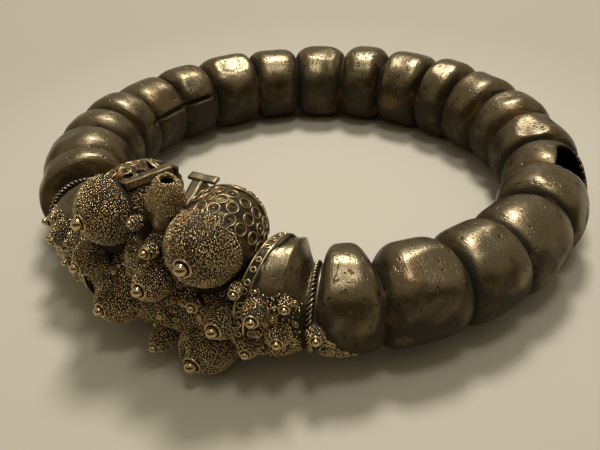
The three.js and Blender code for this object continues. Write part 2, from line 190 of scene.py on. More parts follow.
def joined(patches):
    """All patches in one, each one's faces counted on from the points before it."""
    shift = 0
    points, quads, tris = [], [], []
    masks = {name: [] for name in MASKS}
    for part in patches:
        points.append(part["points"])
        quads.append(part["quads"] + shift)
        tris.append(part["tris"] + shift)
        for name in MASKS:
            masks[name].append(part["masks"].get(name, np.zeros(len(part["points"]))))
        shift += len(part["points"])
    return {"points": np.concatenate(points), "quads": np.concatenate(quads),
            "tris": np.concatenate(tris),
            "masks": {name: np.concatenate(values) for name, values in masks.items()}}


def make_piece(name, patches, material, replaced=(), unrolled=None):
    """One smooth-shaded object from the patches; unrolled is a flat place in metres for each point."""
    whole = joined(patches)
    quads, tris = whole["quads"], whole["tris"]
    mesh = bpy.data.meshes.new(name)
    mesh.vertices.add(len(whole["points"]))
    mesh.vertices.foreach_set("co", laid(whole["points"]).ravel())
    mesh.loops.add(quads.size + tris.size)
    mesh.loops.foreach_set("vertex_index", np.concatenate([quads.ravel(), tris.ravel()]))
    mesh.polygons.add(len(quads) + len(tris))
    starts = np.concatenate([np.arange(len(quads)) * 4, quads.size + np.arange(len(tris)) * 3])
    mesh.polygons.foreach_set("loop_start", starts)
    mesh.update(calc_edges=True)
    mesh.polygons.foreach_set("use_smooth", np.ones(len(mesh.polygons), bool))
    for mask, values in whole["masks"].items():
        layer = mesh.attributes.new(mask, "FLOAT", "POINT")
        layer.data.foreach_set("value", values)
    if unrolled is not None:
        corners = np.empty(len(mesh.loops), np.int32)
        mesh.loops.foreach_get("vertex_index", corners)
        mesh.uv_layers.new(name="unrolled").data.foreach_set("uv", unrolled[corners].ravel())
    mesh.materials.append(material)
    piece = bpy.data.objects.new(name, mesh)
    bpy.context.scene.collection.objects.link(piece)
    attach(piece, "root")
    if replaced:
        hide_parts(*replaced)
    print(f"{name}: {2 * len(quads) + len(tris)} triangles")
    return piece


# %% [markdown]
# ## A soft unevenness
# Hand work is never quite regular. A smooth noise, added to a surface in its own millimetres, stands
# for hammer marks, sagging and knocks. It is a sum of sine waves in fixed random directions.

# %% Smooth noise
WAVES = 14


def waviness(points, scale, seed):
    """Sum of sines of the points' places along random directions, each about scale millimetres long."""
    rng = np.random.default_rng(seed)
    direction = rng.normal(size=(WAVES, 3))
    direction *= (2 * np.pi / scale / np.linalg.norm(direction, axis=1)
                  * rng.uniform(0.6, 1.5, WAVES))[:, None]
    phase = rng.uniform(0, 2 * np.pi, WAVES)
    return np.sin(points @ direction.T + phase).sum(-1) / np.sqrt(WAVES / 2)


# %% [markdown]
# ## Tarnished silver
# One node group gives the look that all the silver shares: worn bright crests, brown tarnish, dirt
# in the hollows, painted shade where a mesh's masks carry it, and a few rusty stains. It reads four
# masks that each mesh carries, and it puts out only a colour, a roughness, a metallic mask and a height for
# the bump.

# %% Node helpers


def connect(tree, source, target):
    """A link from one socket to another."""
    tree.links.new(source, target)


def add_node(tree, kind, **settings):
    """A new node with its settings."""
    node = tree.nodes.new(kind)
    for name, value in settings.items():
        setattr(node, name, value)
    return node


def set_inputs(node, **values):
    """Plain values on a node's sockets; an underscore stands for a space."""
    for name, value in values.items():
        node.inputs[name.replace("_", " ")].default_value = value


def arithmetic(tree, operation, first, second, clamp=False):
    """A Math node; each side is a socket or a number."""
    node = add_node(tree, "ShaderNodeMath", operation=operation, use_clamp=clamp)
    for index, side in enumerate((first, second)):
        if isinstance(side, (int, float)):
            node.inputs[index].default_value = side
        else:
            connect(tree, side, node.inputs[index])
    return node.outputs[0]


def plus_share(tree, value, other, share, clamp=False):
    """A value plus a share of another."""
    return arithmetic(tree, "ADD", value, arithmetic(tree, "MULTIPLY", other, share), clamp)


def mixed(tree, factor, first, second):
    """A colour Mix node; each side is a socket or an RGB tuple."""
    node = add_node(tree, "ShaderNodeMix", data_type="RGBA")
    if isinstance(factor, (int, float)):
        node.inputs["Factor"].default_value = factor
    else:
        connect(tree, factor, node.inputs["Factor"])
    for socket, side in ((node.inputs[6], first), (node.inputs[7], second)):
        if isinstance(side, tuple):
            socket.default_value = (*side, 1)
        else:
            connect(tree, side, socket)
    return node.outputs[2]


def ramped(tree, value, low, high):
    """Map Range, smooth, from low..high to 0..1."""
    node = add_node(tree, "ShaderNodeMapRange", interpolation_type="SMOOTHSTEP")
    connect(tree, value, node.inputs["Value"])
    node.inputs["From Min"].default_value = low
    node.inputs["From Max"].default_value = high
    return node.outputs["Result"]


def noise(tree, vector, scale, detail=4, roughness=0.6):
    """A cloudy value between 0 and 1."""
    node = add_node(tree, "ShaderNodeTexNoise")
    connect(tree, vector, node.inputs["Vector"])
    set_inputs(node, Scale=scale, Detail=detail, Roughness=roughness)
    return node.outputs["Fac"]


# %% The shared tarnish group
def tarnish_group():
    """Inputs: vector, masks and four colours. Outputs: colour, roughness, metallic mask, height."""
    group = bpy.data.node_groups.new("tarnished_metal", "ShaderNodeTree")
    inputs = [("Vector", "NodeSocketVector"), ("Wear", "NodeSocketFloat"), ("Dirt", "NodeSocketFloat"),
              ("Stain", "NodeSocketFloat"), ("Polish", "NodeSocketFloat"), ("Bright", "NodeSocketColor"),
              ("Tarnish", "NodeSocketColor"), ("Earth", "NodeSocketColor"), ("Rust", "NodeSocketColor")]
    for name, kind in inputs:
        group.interface.new_socket(name, in_out="INPUT", socket_type=kind)
    for name, kind in [("Color", "NodeSocketColor"), ("Roughness", "NodeSocketFloat"),
                       ("Metallic", "NodeSocketFloat"), ("Height", "NodeSocketFloat")]:
        group.interface.new_socket(name, in_out="OUTPUT", socket_type=kind)
    given = add_node(group, "NodeGroupInput")
    result = add_node(group, "NodeGroupOutput")
    place = given.outputs["Vector"]

    clouds = noise(group, place, 140, detail=5, roughness=0.62)
    speckle = noise(group, place, 900, detail=3, roughness=0.7)
    grit = noise(group, place, 3200, detail=2, roughness=0.6)

    worn = plus_share(group, given.outputs["Wear"], speckle, 0.5)
    worn = ramped(group, plus_share(group, worn, clouds, 0.7), 0.55, 1.35)
    colour = mixed(group, worn, given.outputs["Tarnish"], given.outputs["Bright"])

    # The earth colour mixed in here is dirt, and painted shade where a mesh's dirt mask carries it.
    soiled = plus_share(group, given.outputs["Dirt"], arithmetic(group, "SUBTRACT", speckle, 0.5), 0.9)
    soiled = plus_share(group, soiled, arithmetic(group, "SUBTRACT", clouds, 0.5), 0.8)
    soiled = ramped(group, soiled, 0.3, 0.8)
    colour = mixed(group, soiled, colour, given.outputs["Earth"])

    rusty = arithmetic(group, "MULTIPLY", given.outputs["Stain"], ramped(group, clouds, 0.42, 0.6))
    rusty = arithmetic(group, "MULTIPLY", rusty, 1.0, clamp=True)
    colour = mixed(group, rusty, colour, given.outputs["Rust"])
    connect(group, colour, result.inputs["Color"])

    rough = arithmetic(group, "MULTIPLY_ADD", worn, -0.16)
    rough.node.inputs[2].default_value = 0.39
    rough = plus_share(group, rough, soiled, 0.3)
    rough = plus_share(group, rough, speckle, 0.12)
    rough = plus_share(group, rough, given.outputs["Polish"], -0.2, clamp=True)
    connect(group, rough, result.inputs["Roughness"])

    metal = arithmetic(group, "MULTIPLY_ADD", soiled, -0.75)
    metal.node.inputs[2].default_value = 1.0
    connect(group, metal, result.inputs["Metallic"])

    height = arithmetic(group, "MULTIPLY_ADD", grit, 0.55)
    connect(group, plus_share(group, speckle, soiled, 0.5), height.node.inputs[2])
    connect(group, height, result.inputs["Height"])
    return group


TARNISH = tarnish_group()

# %% [markdown]
# ## The finishes
# The hoop is smooth worn silver with fine scratches. The granulated domes are darker, with earth
# packed between the granules, and their balls are rubbed smooth, which a mask on the mesh says. Each
# finish places the same group with its own colours, and keeps the shader itself in the material.

# %% Materials


def dashes(tree, scale_along, scale_around, low, high):
    """Short marks across a lobe: noise on the unrolled wall, drawn out around the tube."""
    place = add_node(tree, "ShaderNodeUVMap", uv_map="unrolled")
    stretch = add_node(tree, "ShaderNodeMapping")
    stretch.inputs["Scale"].default_value = (scale_along, scale_around, 1)
    connect(tree, place.outputs["UV"], stretch.inputs["Vector"])
    return ramped(tree, noise(tree, stretch.outputs["Vector"], 1.0, detail=3, roughness=0.55), low, high)


def silver_material(name, colours, bump, bump_distance, scratched=False):
    """A metal shader fed by the tarnish group; colours are bright, tarnish, earth and rust."""
    material = bpy.data.materials.new(name)
    material.use_nodes = True
    tree = material.node_tree
    shader = tree.nodes["Principled BSDF"]
    coordinates = add_node(tree, "ShaderNodeTexCoord")
    group = add_node(tree, "ShaderNodeGroup", node_tree=TARNISH)
    connect(tree, coordinates.outputs["Object"], group.inputs["Vector"])
    for mask in MASKS:
        reader = add_node(tree, "ShaderNodeAttribute", attribute_name=mask)
        connect(tree, reader.outputs["Fac"], group.inputs[mask.capitalize()])
    for socket, colour in zip(("Bright", "Tarnish", "Earth", "Rust"), colours):
        group.inputs[socket].default_value = (*colour, 1)
    colour, height = group.outputs["Color"], group.outputs["Height"]
    if scratched:
        marks = dashes(tree, 2300, 420, 0.60, 0.70)
        fine = dashes(tree, 5200, 700, 0.35, 0.75)
        pits = ramped(tree, noise(tree, coordinates.outputs["Object"], 1100, detail=1), 0.66, 0.74)
        worn_away = arithmetic(tree, "MAXIMUM", marks, pits)
        colour = mixed(tree, arithmetic(tree, "MULTIPLY", worn_away, 0.75), colour, colours[2])
        height = plus_share(tree, height, worn_away, -1.6)
        height = plus_share(tree, height, fine, -0.45)
    connect(tree, colour, shader.inputs["Base Color"])
    connect(tree, group.outputs["Roughness"], shader.inputs["Roughness"])
    connect(tree, group.outputs["Metallic"], shader.inputs["Metallic"])
    relief = add_node(tree, "ShaderNodeBump")
    set_inputs(relief, Strength=bump, Distance=bump_distance)
    connect(tree, height, relief.inputs["Height"])
    connect(tree, relief.outputs["Normal"], shader.inputs["Normal"])
    return material


# The hoop's earth colour is also its painted shade, on the underside and inside the tube.
HOOP_SILVER = silver_material(
    "worn_hoop_silver",
    [(0.222, 0.178, 0.112), (0.080, 0.063, 0.034), (0.030, 0.021, 0.008), (0.19, 0.108, 0.038)], 0.6, 0.00006,
    scratched=True)
STRIP_SILVER = silver_material(
    "thin_strip_silver",
    [(0.33, 0.28, 0.20), (0.125, 0.10, 0.06), (0.04, 0.029, 0.013), (0.30, 0.14, 0.05)], 0.35, 0.00005)
GRAINED_SILVER = silver_material(
    "granulated_silver",
    [(0.60, 0.46, 0.26), (0.11, 0.085, 0.040), (0.016, 0.011, 0.005), (0.40, 0.18, 0.09)], 0.3, 0.00005)

# %% [markdown]
# ## The hoop
# The hoop is one skin: a grid that runs along the centre line and around the tube. The reach of each
# point is the tube's radius less a valley that is deep inside the hoop and shallow outside. Stations
# crowd towards the valleys, where the sheet folds sharply.

# %% Lobes and valleys
LOBE_LENGTHS = np.array([7.0, 11.0, 9.7, 11.4, 9.9, 9.6, 9.9, 9.1, 9.5, 8.5, 10.4, 9.0, 10.2, 9.8, 10.8,
                         9.5, 10.1, 7.7, 8.2, 9.5, 6.1])
RIGHT_END, LEFT_END = 11.6, -15.0
RIGHT_COLLAR, LEFT_COLLAR = 18.2, -27.8
COLLAR_SEAT = 1.1
END_SLANT, RIGHT_COLLAR_SLANT = 0.34, 0.15
LOBE_SWELLS = np.array([0.9, 0.1, 0, -0.3, 0.2, -0.3, 0.1, 0.9, 1.3, 1.3, 1.1, 0.9, 0.4, 0.2, 0.1, 0.1,
                        0.2, 0.6, 1.1, 1.4, 1.4])
RIGHT_SWELL, LEFT_SWELL = 2.0, 0.7
SWOLLEN_SIDE, SWELL_SHARPNESS, COLLAR_SHARPNESS = 100, 1.5, 3.2
WIRE_SEAT = 0.62
VALLEY_OUTSIDE, VALLEY_INSIDE, DEEPEST_SIDE = 1.1, 2.1, 150
VALLEY_SHARPNESS, SHARPNESS_PLAY = 4, (-0.9, 1.1)
LOBE_LEAN = 0.06
CORE_INSET, CORE_GAP, CORE_SLANT = 0.45, 1.5, 0.2
WIDE_VALLEY_LOBE, WIDE_VALLEY_DEPTH, WIDE_VALLEY_WIDTH = 1, 1.3, 1.9
FOLD_DEPTH, FOLD_WIDTH = 0.3, 0.35
BAND_WIDTH = 2.2
STATIONS_PER_LOBE, CROWDING = 30, 0.75
AROUND_STEPS = 116
# Share of a collar at which its fall begins, and its stations
RIGHT_SHOULDER, LEFT_SHOULDER = 0.6, 0.66
RIGHT_STATIONS, LEFT_STATIONS = 30, 44


def valley_depth(around):
    """Mean of the two depths plus a cosine swing that is greatest on the deepest side."""
    mean = (VALLEY_INSIDE + VALLEY_OUTSIDE) / 2
    swing = (VALLEY_INSIDE - VALLEY_OUTSIDE) / 2
    return mean + swing * np.cos(np.radians(around - DEEPEST_SIDE))


def swollen_share(around, sharpness=SWELL_SHARPNESS):
    """Share of a lobe's swelling: a raised cosine to a power, all of it on top and none below."""
    return ((1 + np.cos(np.radians(around - SWOLLEN_SIDE))) / 2) ** sharpness


def crowded(count):
    """Shares from 0 to 1 that lie closer together near both ends."""
    even = np.linspace(0, 1, count, endpoint=False)
    return even - CROWDING * np.sin(2 * np.pi * even) / (2 * np.pi)


def lobe_stations():
    """Along, valley share and fold distance of every station, from the right end to the left end."""
    span = WHOLE_TURN - RIGHT_COLLAR + LEFT_COLLAR - 2 * COLLAR_SEAT
    lengths = LOBE_LENGTHS * span / LOBE_LENGTHS.sum()
    starts = RIGHT_COLLAR + COLLAR_SEAT + np.concatenate([[0], np.cumsum(lengths)[:-1]])
    starts[0] -= COLLAR_SEAT - WIRE_SEAT
    lengths[0] += COLLAR_SEAT - WIRE_SEAT
    rng = np.random.default_rng(4)
    share = crowded(STATIONS_PER_LOBE)
    along = (starts[:, None] + share * lengths[:, None]).ravel()
    sharpness = VALLEY_SHARPNESS + rng.uniform(*SHARPNESS_PLAY, len(lengths))
    lean = rng.uniform(-LOBE_LEAN, LOBE_LEAN, len(lengths))
    skewed = share + lean[:, None] * np.sin(np.pi * share)
    valley = (np.abs(2 * skewed - 1) ** sharpness[:, None]).ravel()
    nearest = (np.minimum(share, 1 - share) * lengths[:, None]).ravel()
    lobe = np.repeat(np.arange(len(lengths)), STATIONS_PER_LOBE)
    return along, valley, nearest, lobe


def collar_stations(end, collar, shoulder, collar_slant, count):
    """A collar lobe: level to the shoulder's share, then a straight fall to the wire's seat."""
    share = np.linspace(0, 1, count)
    length = abs(collar - end)
    bottom = 1 - WIRE_SEAT / length
    fall = np.clip((share - shoulder) / (bottom - shoulder), 0, 1)
    return end + share * (collar - end), fall, np.sign(end) * END_SLANT * (1 - share) + collar_slant * share


lobe_along, lobe_valley, lobe_nearest, lobe_number = lobe_stations()
right_along, right_valley, right_slant = collar_stations(
    RIGHT_END, RIGHT_COLLAR, RIGHT_SHOULDER, RIGHT_COLLAR_SLANT, RIGHT_STATIONS)
left_along, left_valley, left_slant = collar_stations(
    LEFT_END, LEFT_COLLAR, LEFT_SHOULDER, 0.0, LEFT_STATIONS)
hoop_along = np.concatenate([right_along, lobe_along, [WHOLE_TURN + LEFT_COLLAR - COLLAR_SEAT],
                             left_along[::-1] + WHOLE_TURN])
hoop_valley = np.concatenate([right_valley, lobe_valley, [1], left_valley[::-1]])
lobe_slant = RIGHT_COLLAR_SLANT * np.clip(1 - (lobe_along - lobe_along[0]) / LOBE_LENGTHS[0], 0, 1)
hoop_slant = np.concatenate([right_slant, lobe_slant, [0], left_slant[::-1]])
# The collars have no fold near them
hoop_nearest = np.concatenate([np.full(RIGHT_STATIONS, 3.0), lobe_nearest, [0],
                               np.full(LEFT_STATIONS, 3.0)])
# The collars count as lobes -1 and -2
hoop_lobe = np.concatenate([np.full(RIGHT_STATIONS, -1), lobe_number, np.full(LEFT_STATIONS + 1, -2)])
hoop_swell = np.concatenate([np.full(RIGHT_STATIONS, RIGHT_SWELL), LOBE_SWELLS[lobe_number], [0],
                             np.full(LEFT_STATIONS, LEFT_SWELL)])
print("stations along the hoop:", len(hoop_along))

# %% [markdown]
# Each lobe was dressed with a hammer, so its crest is a little flatted. A flat is a plane that cuts the
# lobe just below its crest; several of them at random angles give the soft facets that catch the light.

# %% Hammered surface
HOOP_SEED = 11
FLATS_PER_LOBE = 4
FLAT_DEPTH, FLAT_LEAN, FLAT_BLEND = (0.02, 0.26), 0.16, 0.14
LEAST_COSINE = 0.2
DENTS = [
    # along in degrees, around in degrees, radius and depth in millimetres
    (31, 62, 2.4, 0.28), (47, 20, 2.0, 0.25), (62, 70, 2.6, 0.32), (76, 35, 2.2, 0.3),
    (122, 75, 2.4, 0.35), (136, 100, 2.2, 0.4), (150, 60, 2.6, 0.35), (178, 110, 2.4, 0.3),
    (205, 130, 2.2, 0.3), (236, 120, 2.6, 0.35), (262, 140, 2.0, 0.3), (300, 70, 2.6, 0.3),
]


def hammered(along, around, reach, lobe):
    """Reach cut by the lobe's flats: a plane's reach is its distance over the cosine of the angle."""
    rng = np.random.default_rng(HOOP_SEED)
    centre = {number: along[lobe == number].mean() for number in np.unique(lobe)}
    for number, middle in centre.items():
        here = lobe == number
        for _ in range(FLATS_PER_LOBE):
            angle = rng.uniform(-180, 180)
            lean = rng.uniform(-FLAT_LEAN, FLAT_LEAN)
            distance = TUBE_RADIUS - rng.uniform(*FLAT_DEPTH)
            turn = np.cos(np.radians(around[None, :] - angle))
            plane = (distance + lean * (along[here] - middle)[:, None]) / np.maximum(turn, LEAST_COSINE)
            gap = np.clip(0.5 + 0.5 * (plane - reach[here]) / FLAT_BLEND, 0, 1)
            reach[here] = plane * (1 - gap) + reach[here] * gap - FLAT_BLEND * gap * (1 - gap) * 0.5
    return reach


def dented(points_along, around, reach):
    """Reach less a round bell for each dent, measured along the tube's wall."""
    for turn, side, radius, depth in DENTS:
        off_along = points_along - np.radians(turn) * HOOP_RADIUS
        off_around = np.radians((around - side + 180) % 360 - 180) * TUBE_RADIUS
        away = (off_along[:, None] ** 2 + off_around[None, :] ** 2) / radius ** 2
        reach = reach - depth * np.exp(-away * 1.6)
    return reach


# %% The skin of the hoop
SEAM_FROM, SEAM_TO, SEAM_FADE = -84, -114, 1.5
SEAM_AROUND, SEAM_WIDTH, SEAM_DEPTH = 157, 0.42, 1.1
HOLE_TURN, HOLE_AROUND, HOLE_LENGTH, HOLE_HEIGHT = 104, 48, 9.5, 9.0
# Along, around, length and turn of the brown stains on the right collar
COLLAR_STAINS = [(13.6, 92, 0.9, 13), (12.6, 55, 0.6, 6), (20.2, 40, 0.8, 16)]
# Places along the collars and the angle up to which the crust there reaches
CRUST_LINE = ([RIGHT_END, RIGHT_COLLAR, WHOLE_TURN + LEFT_COLLAR, WHOLE_TURN + LEFT_END], [50, 39, 30, 52])
# Places along of the middles of the crusts' dirt
DIRT_MIDDLES = (14, -21)
WALL = 0.6
LINING_TURN = 22
LOBE_PLAY = 0.12
# Height in millimetres, length and seed of the wall's unevenness
UNEVENNESS = [(0.045, 9.0, 21), (0.007, 2.4, 22)]

hoop_around = np.sort(np.concatenate([np.linspace(-90, 270, AROUND_STEPS, endpoint=False) + 0.01,
                                      SEAM_AROUND + np.array([-4.6, -2.6, -1.6, -0.9, 0, 0.9, 1.6, 2.6])]))
crest = TUBE_RADIUS + LOBE_PLAY * np.sin(2.3 * hoop_lobe) * (hoop_lobe >= 0)
sharpness = np.where(hoop_lobe < 0, COLLAR_SHARPNESS, SWELL_SHARPNESS)[:, None]
swelling = (hoop_swell * (1 - hoop_valley))[:, None] * swollen_share(hoop_around[None, :], sharpness)
reach = crest[:, None] - hoop_valley[:, None] * valley_depth(hoop_around)[None, :]
wide_at = hoop_along[np.flatnonzero(hoop_lobe == WIDE_VALLEY_LOBE)[0]]
wide = WIDE_VALLEY_DEPTH * np.exp(-((hoop_along - wide_at) / WIDE_VALLEY_WIDTH) ** 2)
reach = reach - wide[:, None] * swollen_share(hoop_around)[None, :]
reach = hammered(hoop_along, hoop_around, reach, hoop_lobe)
reach = dented(hoop_along, hoop_around, reach + swelling)
fold = np.exp(-(hoop_nearest / FOLD_WIDTH) ** 2)
reach = reach - FOLD_DEPTH * fold[:, None]
wavy = on_tube(hoop_along[:, None], hoop_around[None, :], reach)
for height, scale, seed in UNEVENNESS:
    reach = reach + height * waviness(wavy, scale, seed)
seam_turn = np.degrees(hoop_along / HOOP_RADIUS) - 360
seam_on = (np.clip((seam_turn - SEAM_TO) / SEAM_FADE, 0, 1)
           * np.clip((SEAM_FROM - seam_turn) / SEAM_FADE, 0, 1))
seam_off = np.radians(hoop_around - SEAM_AROUND) * TUBE_RADIUS
seam = seam_on[:, None] * np.exp(-(seam_off[None, :] / SEAM_WIDTH) ** 4)
reach = reach - SEAM_DEPTH * seam


def hoop_points(reach):
    """Points of the skin; the end planes are slanted by moving points along as they go outwards."""
    return on_leaning(hoop_along[:, None], hoop_around[None, :], reach, hoop_slant[:, None])


def from_hole():
    """Distance from the tear's outline: below 1 inside it; the outline is ragged by sines."""
    off_along = hoop_along - np.radians(HOLE_TURN) * HOOP_RADIUS
    off_around = np.radians(hoop_around - HOLE_AROUND) * TUBE_RADIUS
    across, upward = np.meshgrid(off_along / (HOLE_LENGTH / 2), off_around / (HOLE_HEIGHT / 2), indexing="ij")
    angle = np.arctan2(upward, across)
    ragged = 1 + 0.10 * np.sin(3 * angle + 0.6) + 0.06 * np.sin(5 * angle + 2.0) + 0.03 * np.sin(9 * angle)
    return (np.abs(across) ** 2.4 + np.abs(upward) ** 2.4) ** (1 / 2.4) / ragged


def hoop_masks(points, reach):
    """Wear on the crests, dirt in the valleys and round the collars, painted shade that darkens the
    underside, stains in a few chosen places.
    """
    deep = np.clip((TUBE_RADIUS - 0.2 - reach) / 1.3, 0, 1)
    near = np.exp(-(hoop_nearest / 0.75) ** 2)[:, None] * np.ones_like(reach)
    inner = np.clip(-np.cos(np.radians(hoop_around)), 0, 1)[None, :]
    soft = waviness(points, 9, 31)
    dirt = 0.9 * near + 0.35 * deep + 0.12 * inner + 0.12 * soft + 1.2 * seam
    end = np.minimum(np.abs(hoop_along - RIGHT_END), np.abs(hoop_along - WHOLE_TURN - LEFT_END))
    dirt += 0.6 * np.exp(-(end / 1.6) ** 2)[:, None]
    crust_line = np.interp(hoop_along, *CRUST_LINE)[:, None] + 3 * np.sin(1.7 * hoop_along)[:, None]
    low = np.clip((crust_line - hoop_around[None, :]) / 5, 0, 1)
    # Painted shade: the underside is darkened, on top of its real tarnish, as the floor below it lies in
    # shadow; it goes into both the dirt and the wear masks.
    under = np.clip(0.85 - 1.4 * np.sin(np.radians(hoop_around)), 0, 1)[None, :]
    dirt += 0.72 * under + 0.14 * under * waviness(points, 3.0, 35)
    right_middle, left_middle = DIRT_MIDDLES
    on_collar = np.minimum(np.abs(hoop_along - right_middle), np.abs(hoop_along - WHOLE_TURN - left_middle))
    dirt += 1.2 * np.exp(-(on_collar / 6) ** 6)[:, None] * low
    wear = 0.75 - 0.9 * near - 0.35 * deep - 0.25 * inner - 0.9 * under + 0.2 * waviness(points, 5, 32)
    stain = 0.9 * near * (waviness(points, 7, 33) > 0.2) + 0.5 * (waviness(points, 12, 34) > 1.1)
    for along, around, length, turn in COLLAR_STAINS:
        off = ((hoop_along - along) / length)[:, None] ** 2 + ((hoop_around - around) / turn)[None, :] ** 2
        stain += 1.2 * np.exp(-off)
    return wear, np.clip(dirt, 0, 1.4), np.clip(stain, 0, 1)


def end_fan(points, ring, flip):
    """Points with one hub more, and the triangles that close a ring of points onto it."""
    hub = len(points)
    points = np.concatenate([points, points[ring].mean(0)[None]])
    fan = np.stack([ring, np.roll(ring, -1), np.full(len(ring), hub)], 1)
    return points, fan[:, ::-1] if flip else fan


def hoop_skin():
    """Outer grid with the torn hole, an inner wall behind the hole, and the rim that joins the two."""
    rows, columns = reach.shape
    outer = hoop_points(reach)
    wear, dirt, stain = hoop_masks(outer, reach)
    distance = from_hole()
    faces = grid_faces(rows, columns, closed=True)[:, ::-1]
    torn = distance.ravel()[faces].mean(1) < 1
    turn = np.degrees(hoop_along / HOOP_RADIUS)
    first, last = np.flatnonzero((turn > HOLE_TURN - LINING_TURN) & (turn < HOLE_TURN + LINING_TURN))[[0, -1]]
    inner = hoop_points(reach - WALL)[first:last + 1]
    inner_start = rows * columns
    lining = grid_faces(last + 1 - first, columns, closed=True)
    lining = lining[distance[first:last + 1].ravel()[lining].mean(1) >= 1] + inner_start
    torn_edges, kept_edges = face_edges(faces[torn]), face_edges(faces[~torn])
    weights = np.array([inner_start, 1])
    border = kept_edges[np.isin(np.sort(kept_edges, 1) @ weights, np.sort(torn_edges, 1) @ weights)]
    inner_border = border - first * columns + inner_start
    rim = np.stack([border[:, 1], border[:, 0], inner_border[:, 0], inner_border[:, 1]], 1)
    points = np.concatenate([outer.reshape(-1, 3), inner.reshape(-1, 3)])
    ring = np.arange(columns)
    tris = []
    for start, flip in ((0, False), ((rows - 1) * columns, True), (inner_start, True),
                        (inner_start + (last - first) * columns, False)):
        points, fan = end_fan(points, ring + start, flip)
        tris.append(fan)
    # The inner wall behind the tear and the hubs of the end discs get the darkest masks: painted shade inside
    # the tube.
    extra = len(points) - wear.size
    return patch(
        points,
        np.concatenate([faces[~torn], lining, rim]),
        np.concatenate(tris),
        wear=np.concatenate([wear.ravel(), np.full(extra, -0.5)]),
        dirt=np.concatenate([dirt.ravel(), np.full(extra, 1.2)]),
        stain=np.concatenate([stain.ravel(), np.zeros(extra)]),
    )


skin = hoop_skin()
flat_place = np.zeros((len(skin["points"]), 2))
on_surface = reach.size
flat_place[:on_surface, 0] = np.repeat(hoop_along, len(hoop_around))
flat_place[:on_surface, 1] = np.tile(np.radians(hoop_around) * TUBE_RADIUS, len(hoop_along))
make_piece("hoop_skin", [skin], HOOP_SILVER, ["hoop"], unrolled=flat_place * MILLIMETRE)

# %% [markdown]
# ## Rows of granules
# Granulation is done by soldering hundreds of tiny balls side by side. Every form under them is nearly
# a shape of revolution, so the granules go in rings down its side, a fixed pitch apart, with a little
# play. One granule is a closed bead with 20 faces. Its mask runs from packed earth at its foot to rubbed
# metal at its tip, and some granules are duller than others.

# %% Granules and forms of revolution
GRANULE_PITCH = 0.31
GRANULE_RADIUS = 0.15
GRANULE_PLAY = 0.2
BEAD_SIDES = 5
# Width of a bead's two rings and their heights, all shares of its radius
BEAD_WIDTH, BEAD_LOW, BEAD_HIGH = 0.86, -0.45, 0.5


def basis_on(axis, sideways):
    """Rows are the across, third and axis directions of a form that stands along axis."""
    axis = axis / np.linalg.norm(axis)
    across = sideways - axis * (sideways @ axis)
    across /= np.linalg.norm(across)
    return np.stack([across, np.cross(axis, across), axis])


def granules(points, normals, radii, rng, dull=0.0):
    """Closed beads: a lower pole, two rings and an upper pole, turned to the surface's normal."""
    count = len(points)
    patchy = waviness(points, 3.0, 61)
    radii = radii * np.clip(1 - 0.10 * patchy, 0.7, 1.15)
    points = points + normals * (rng.normal(0, 0.04, count) - 0.03)[:, None]
    turn = rng.uniform(0, 2 * np.pi, count)
    helper = np.where(np.abs(normals[:, 2:]) < 0.9, [[0, 0, 1.0]], [[1.0, 0, 0]])
    across = np.cross(helper, normals)
    across /= np.linalg.norm(across, axis=1, keepdims=True)
    third = np.cross(normals, across)
    angle = np.arange(BEAD_SIDES) * 2 * np.pi / BEAD_SIDES
    ring = np.stack([np.cos(angle), np.sin(angle)], 1)
    # The upper ring is turned by 30 degrees against the lower one
    turned_ring = ring @ [[0.866, 0.5], [-0.5, 0.866]]
    unit = np.concatenate([[[0, 0, -1.0]],
                           np.column_stack([BEAD_WIDTH * ring, np.full(BEAD_SIDES, BEAD_LOW)]),
                           np.column_stack([BEAD_WIDTH * turned_ring, np.full(BEAD_SIDES, BEAD_HIGH)]),
                           [[0, 0, 1.0]]])
    spun_x = unit[:, 0] * np.cos(turn)[:, None] - unit[:, 1] * np.sin(turn)[:, None]
    spun_y = unit[:, 0] * np.sin(turn)[:, None] + unit[:, 1] * np.cos(turn)[:, None]
    local = (spun_x[..., None] * across[:, None] + spun_y[..., None] * third[:, None]
             + unit[:, 2][None, :, None] * normals[:, None])
    placed = points[:, None] + local * radii[:, None, None]
    step = np.arange(BEAD_SIDES)
    beside = (step + 1) % BEAD_SIDES
    low, high, top = 1, 1 + BEAD_SIDES, 1 + 2 * BEAD_SIDES
    faces = np.concatenate([
        np.stack([np.zeros(BEAD_SIDES, int), low + beside, low + step], 1),
        np.stack([low + step, low + beside, high + step], 1),
        np.stack([high + step, low + beside, high + beside], 1),
        np.stack([high + step, high + beside, np.full(BEAD_SIDES, top)], 1),
    ])
    all_faces = faces[None] + (np.arange(count) * len(unit))[:, None, None]
    height = np.tile((unit[:, 2] + 1) / 2, count)
    covered = np.repeat(rng.uniform(-0.25, 0.45, count) + 0.22 * patchy + dull, len(unit))
    return patch(placed, tris=all_faces.reshape(-1, 3), wear=2.3 * height - 0.95 - 0.6 * covered,
                 dirt=np.clip(1.2 - 1.8 * height + 0.8 * covered, 0, 1.2), polish=0.9 * height,
                 stain=np.repeat(0.5 * (waviness(points, 4.0, 62) > 1.0), len(unit)))


def lathe_points(radius, height, angle, origin, basis):
    """Points of a turned form: radius at an angle about its axis, height along it."""
    across = radius * np.cos(angle)
    third = radius * np.sin(angle)
    return origin + across[..., None] * basis[0] + third[..., None] * basis[1] + height[..., None] * basis[2]


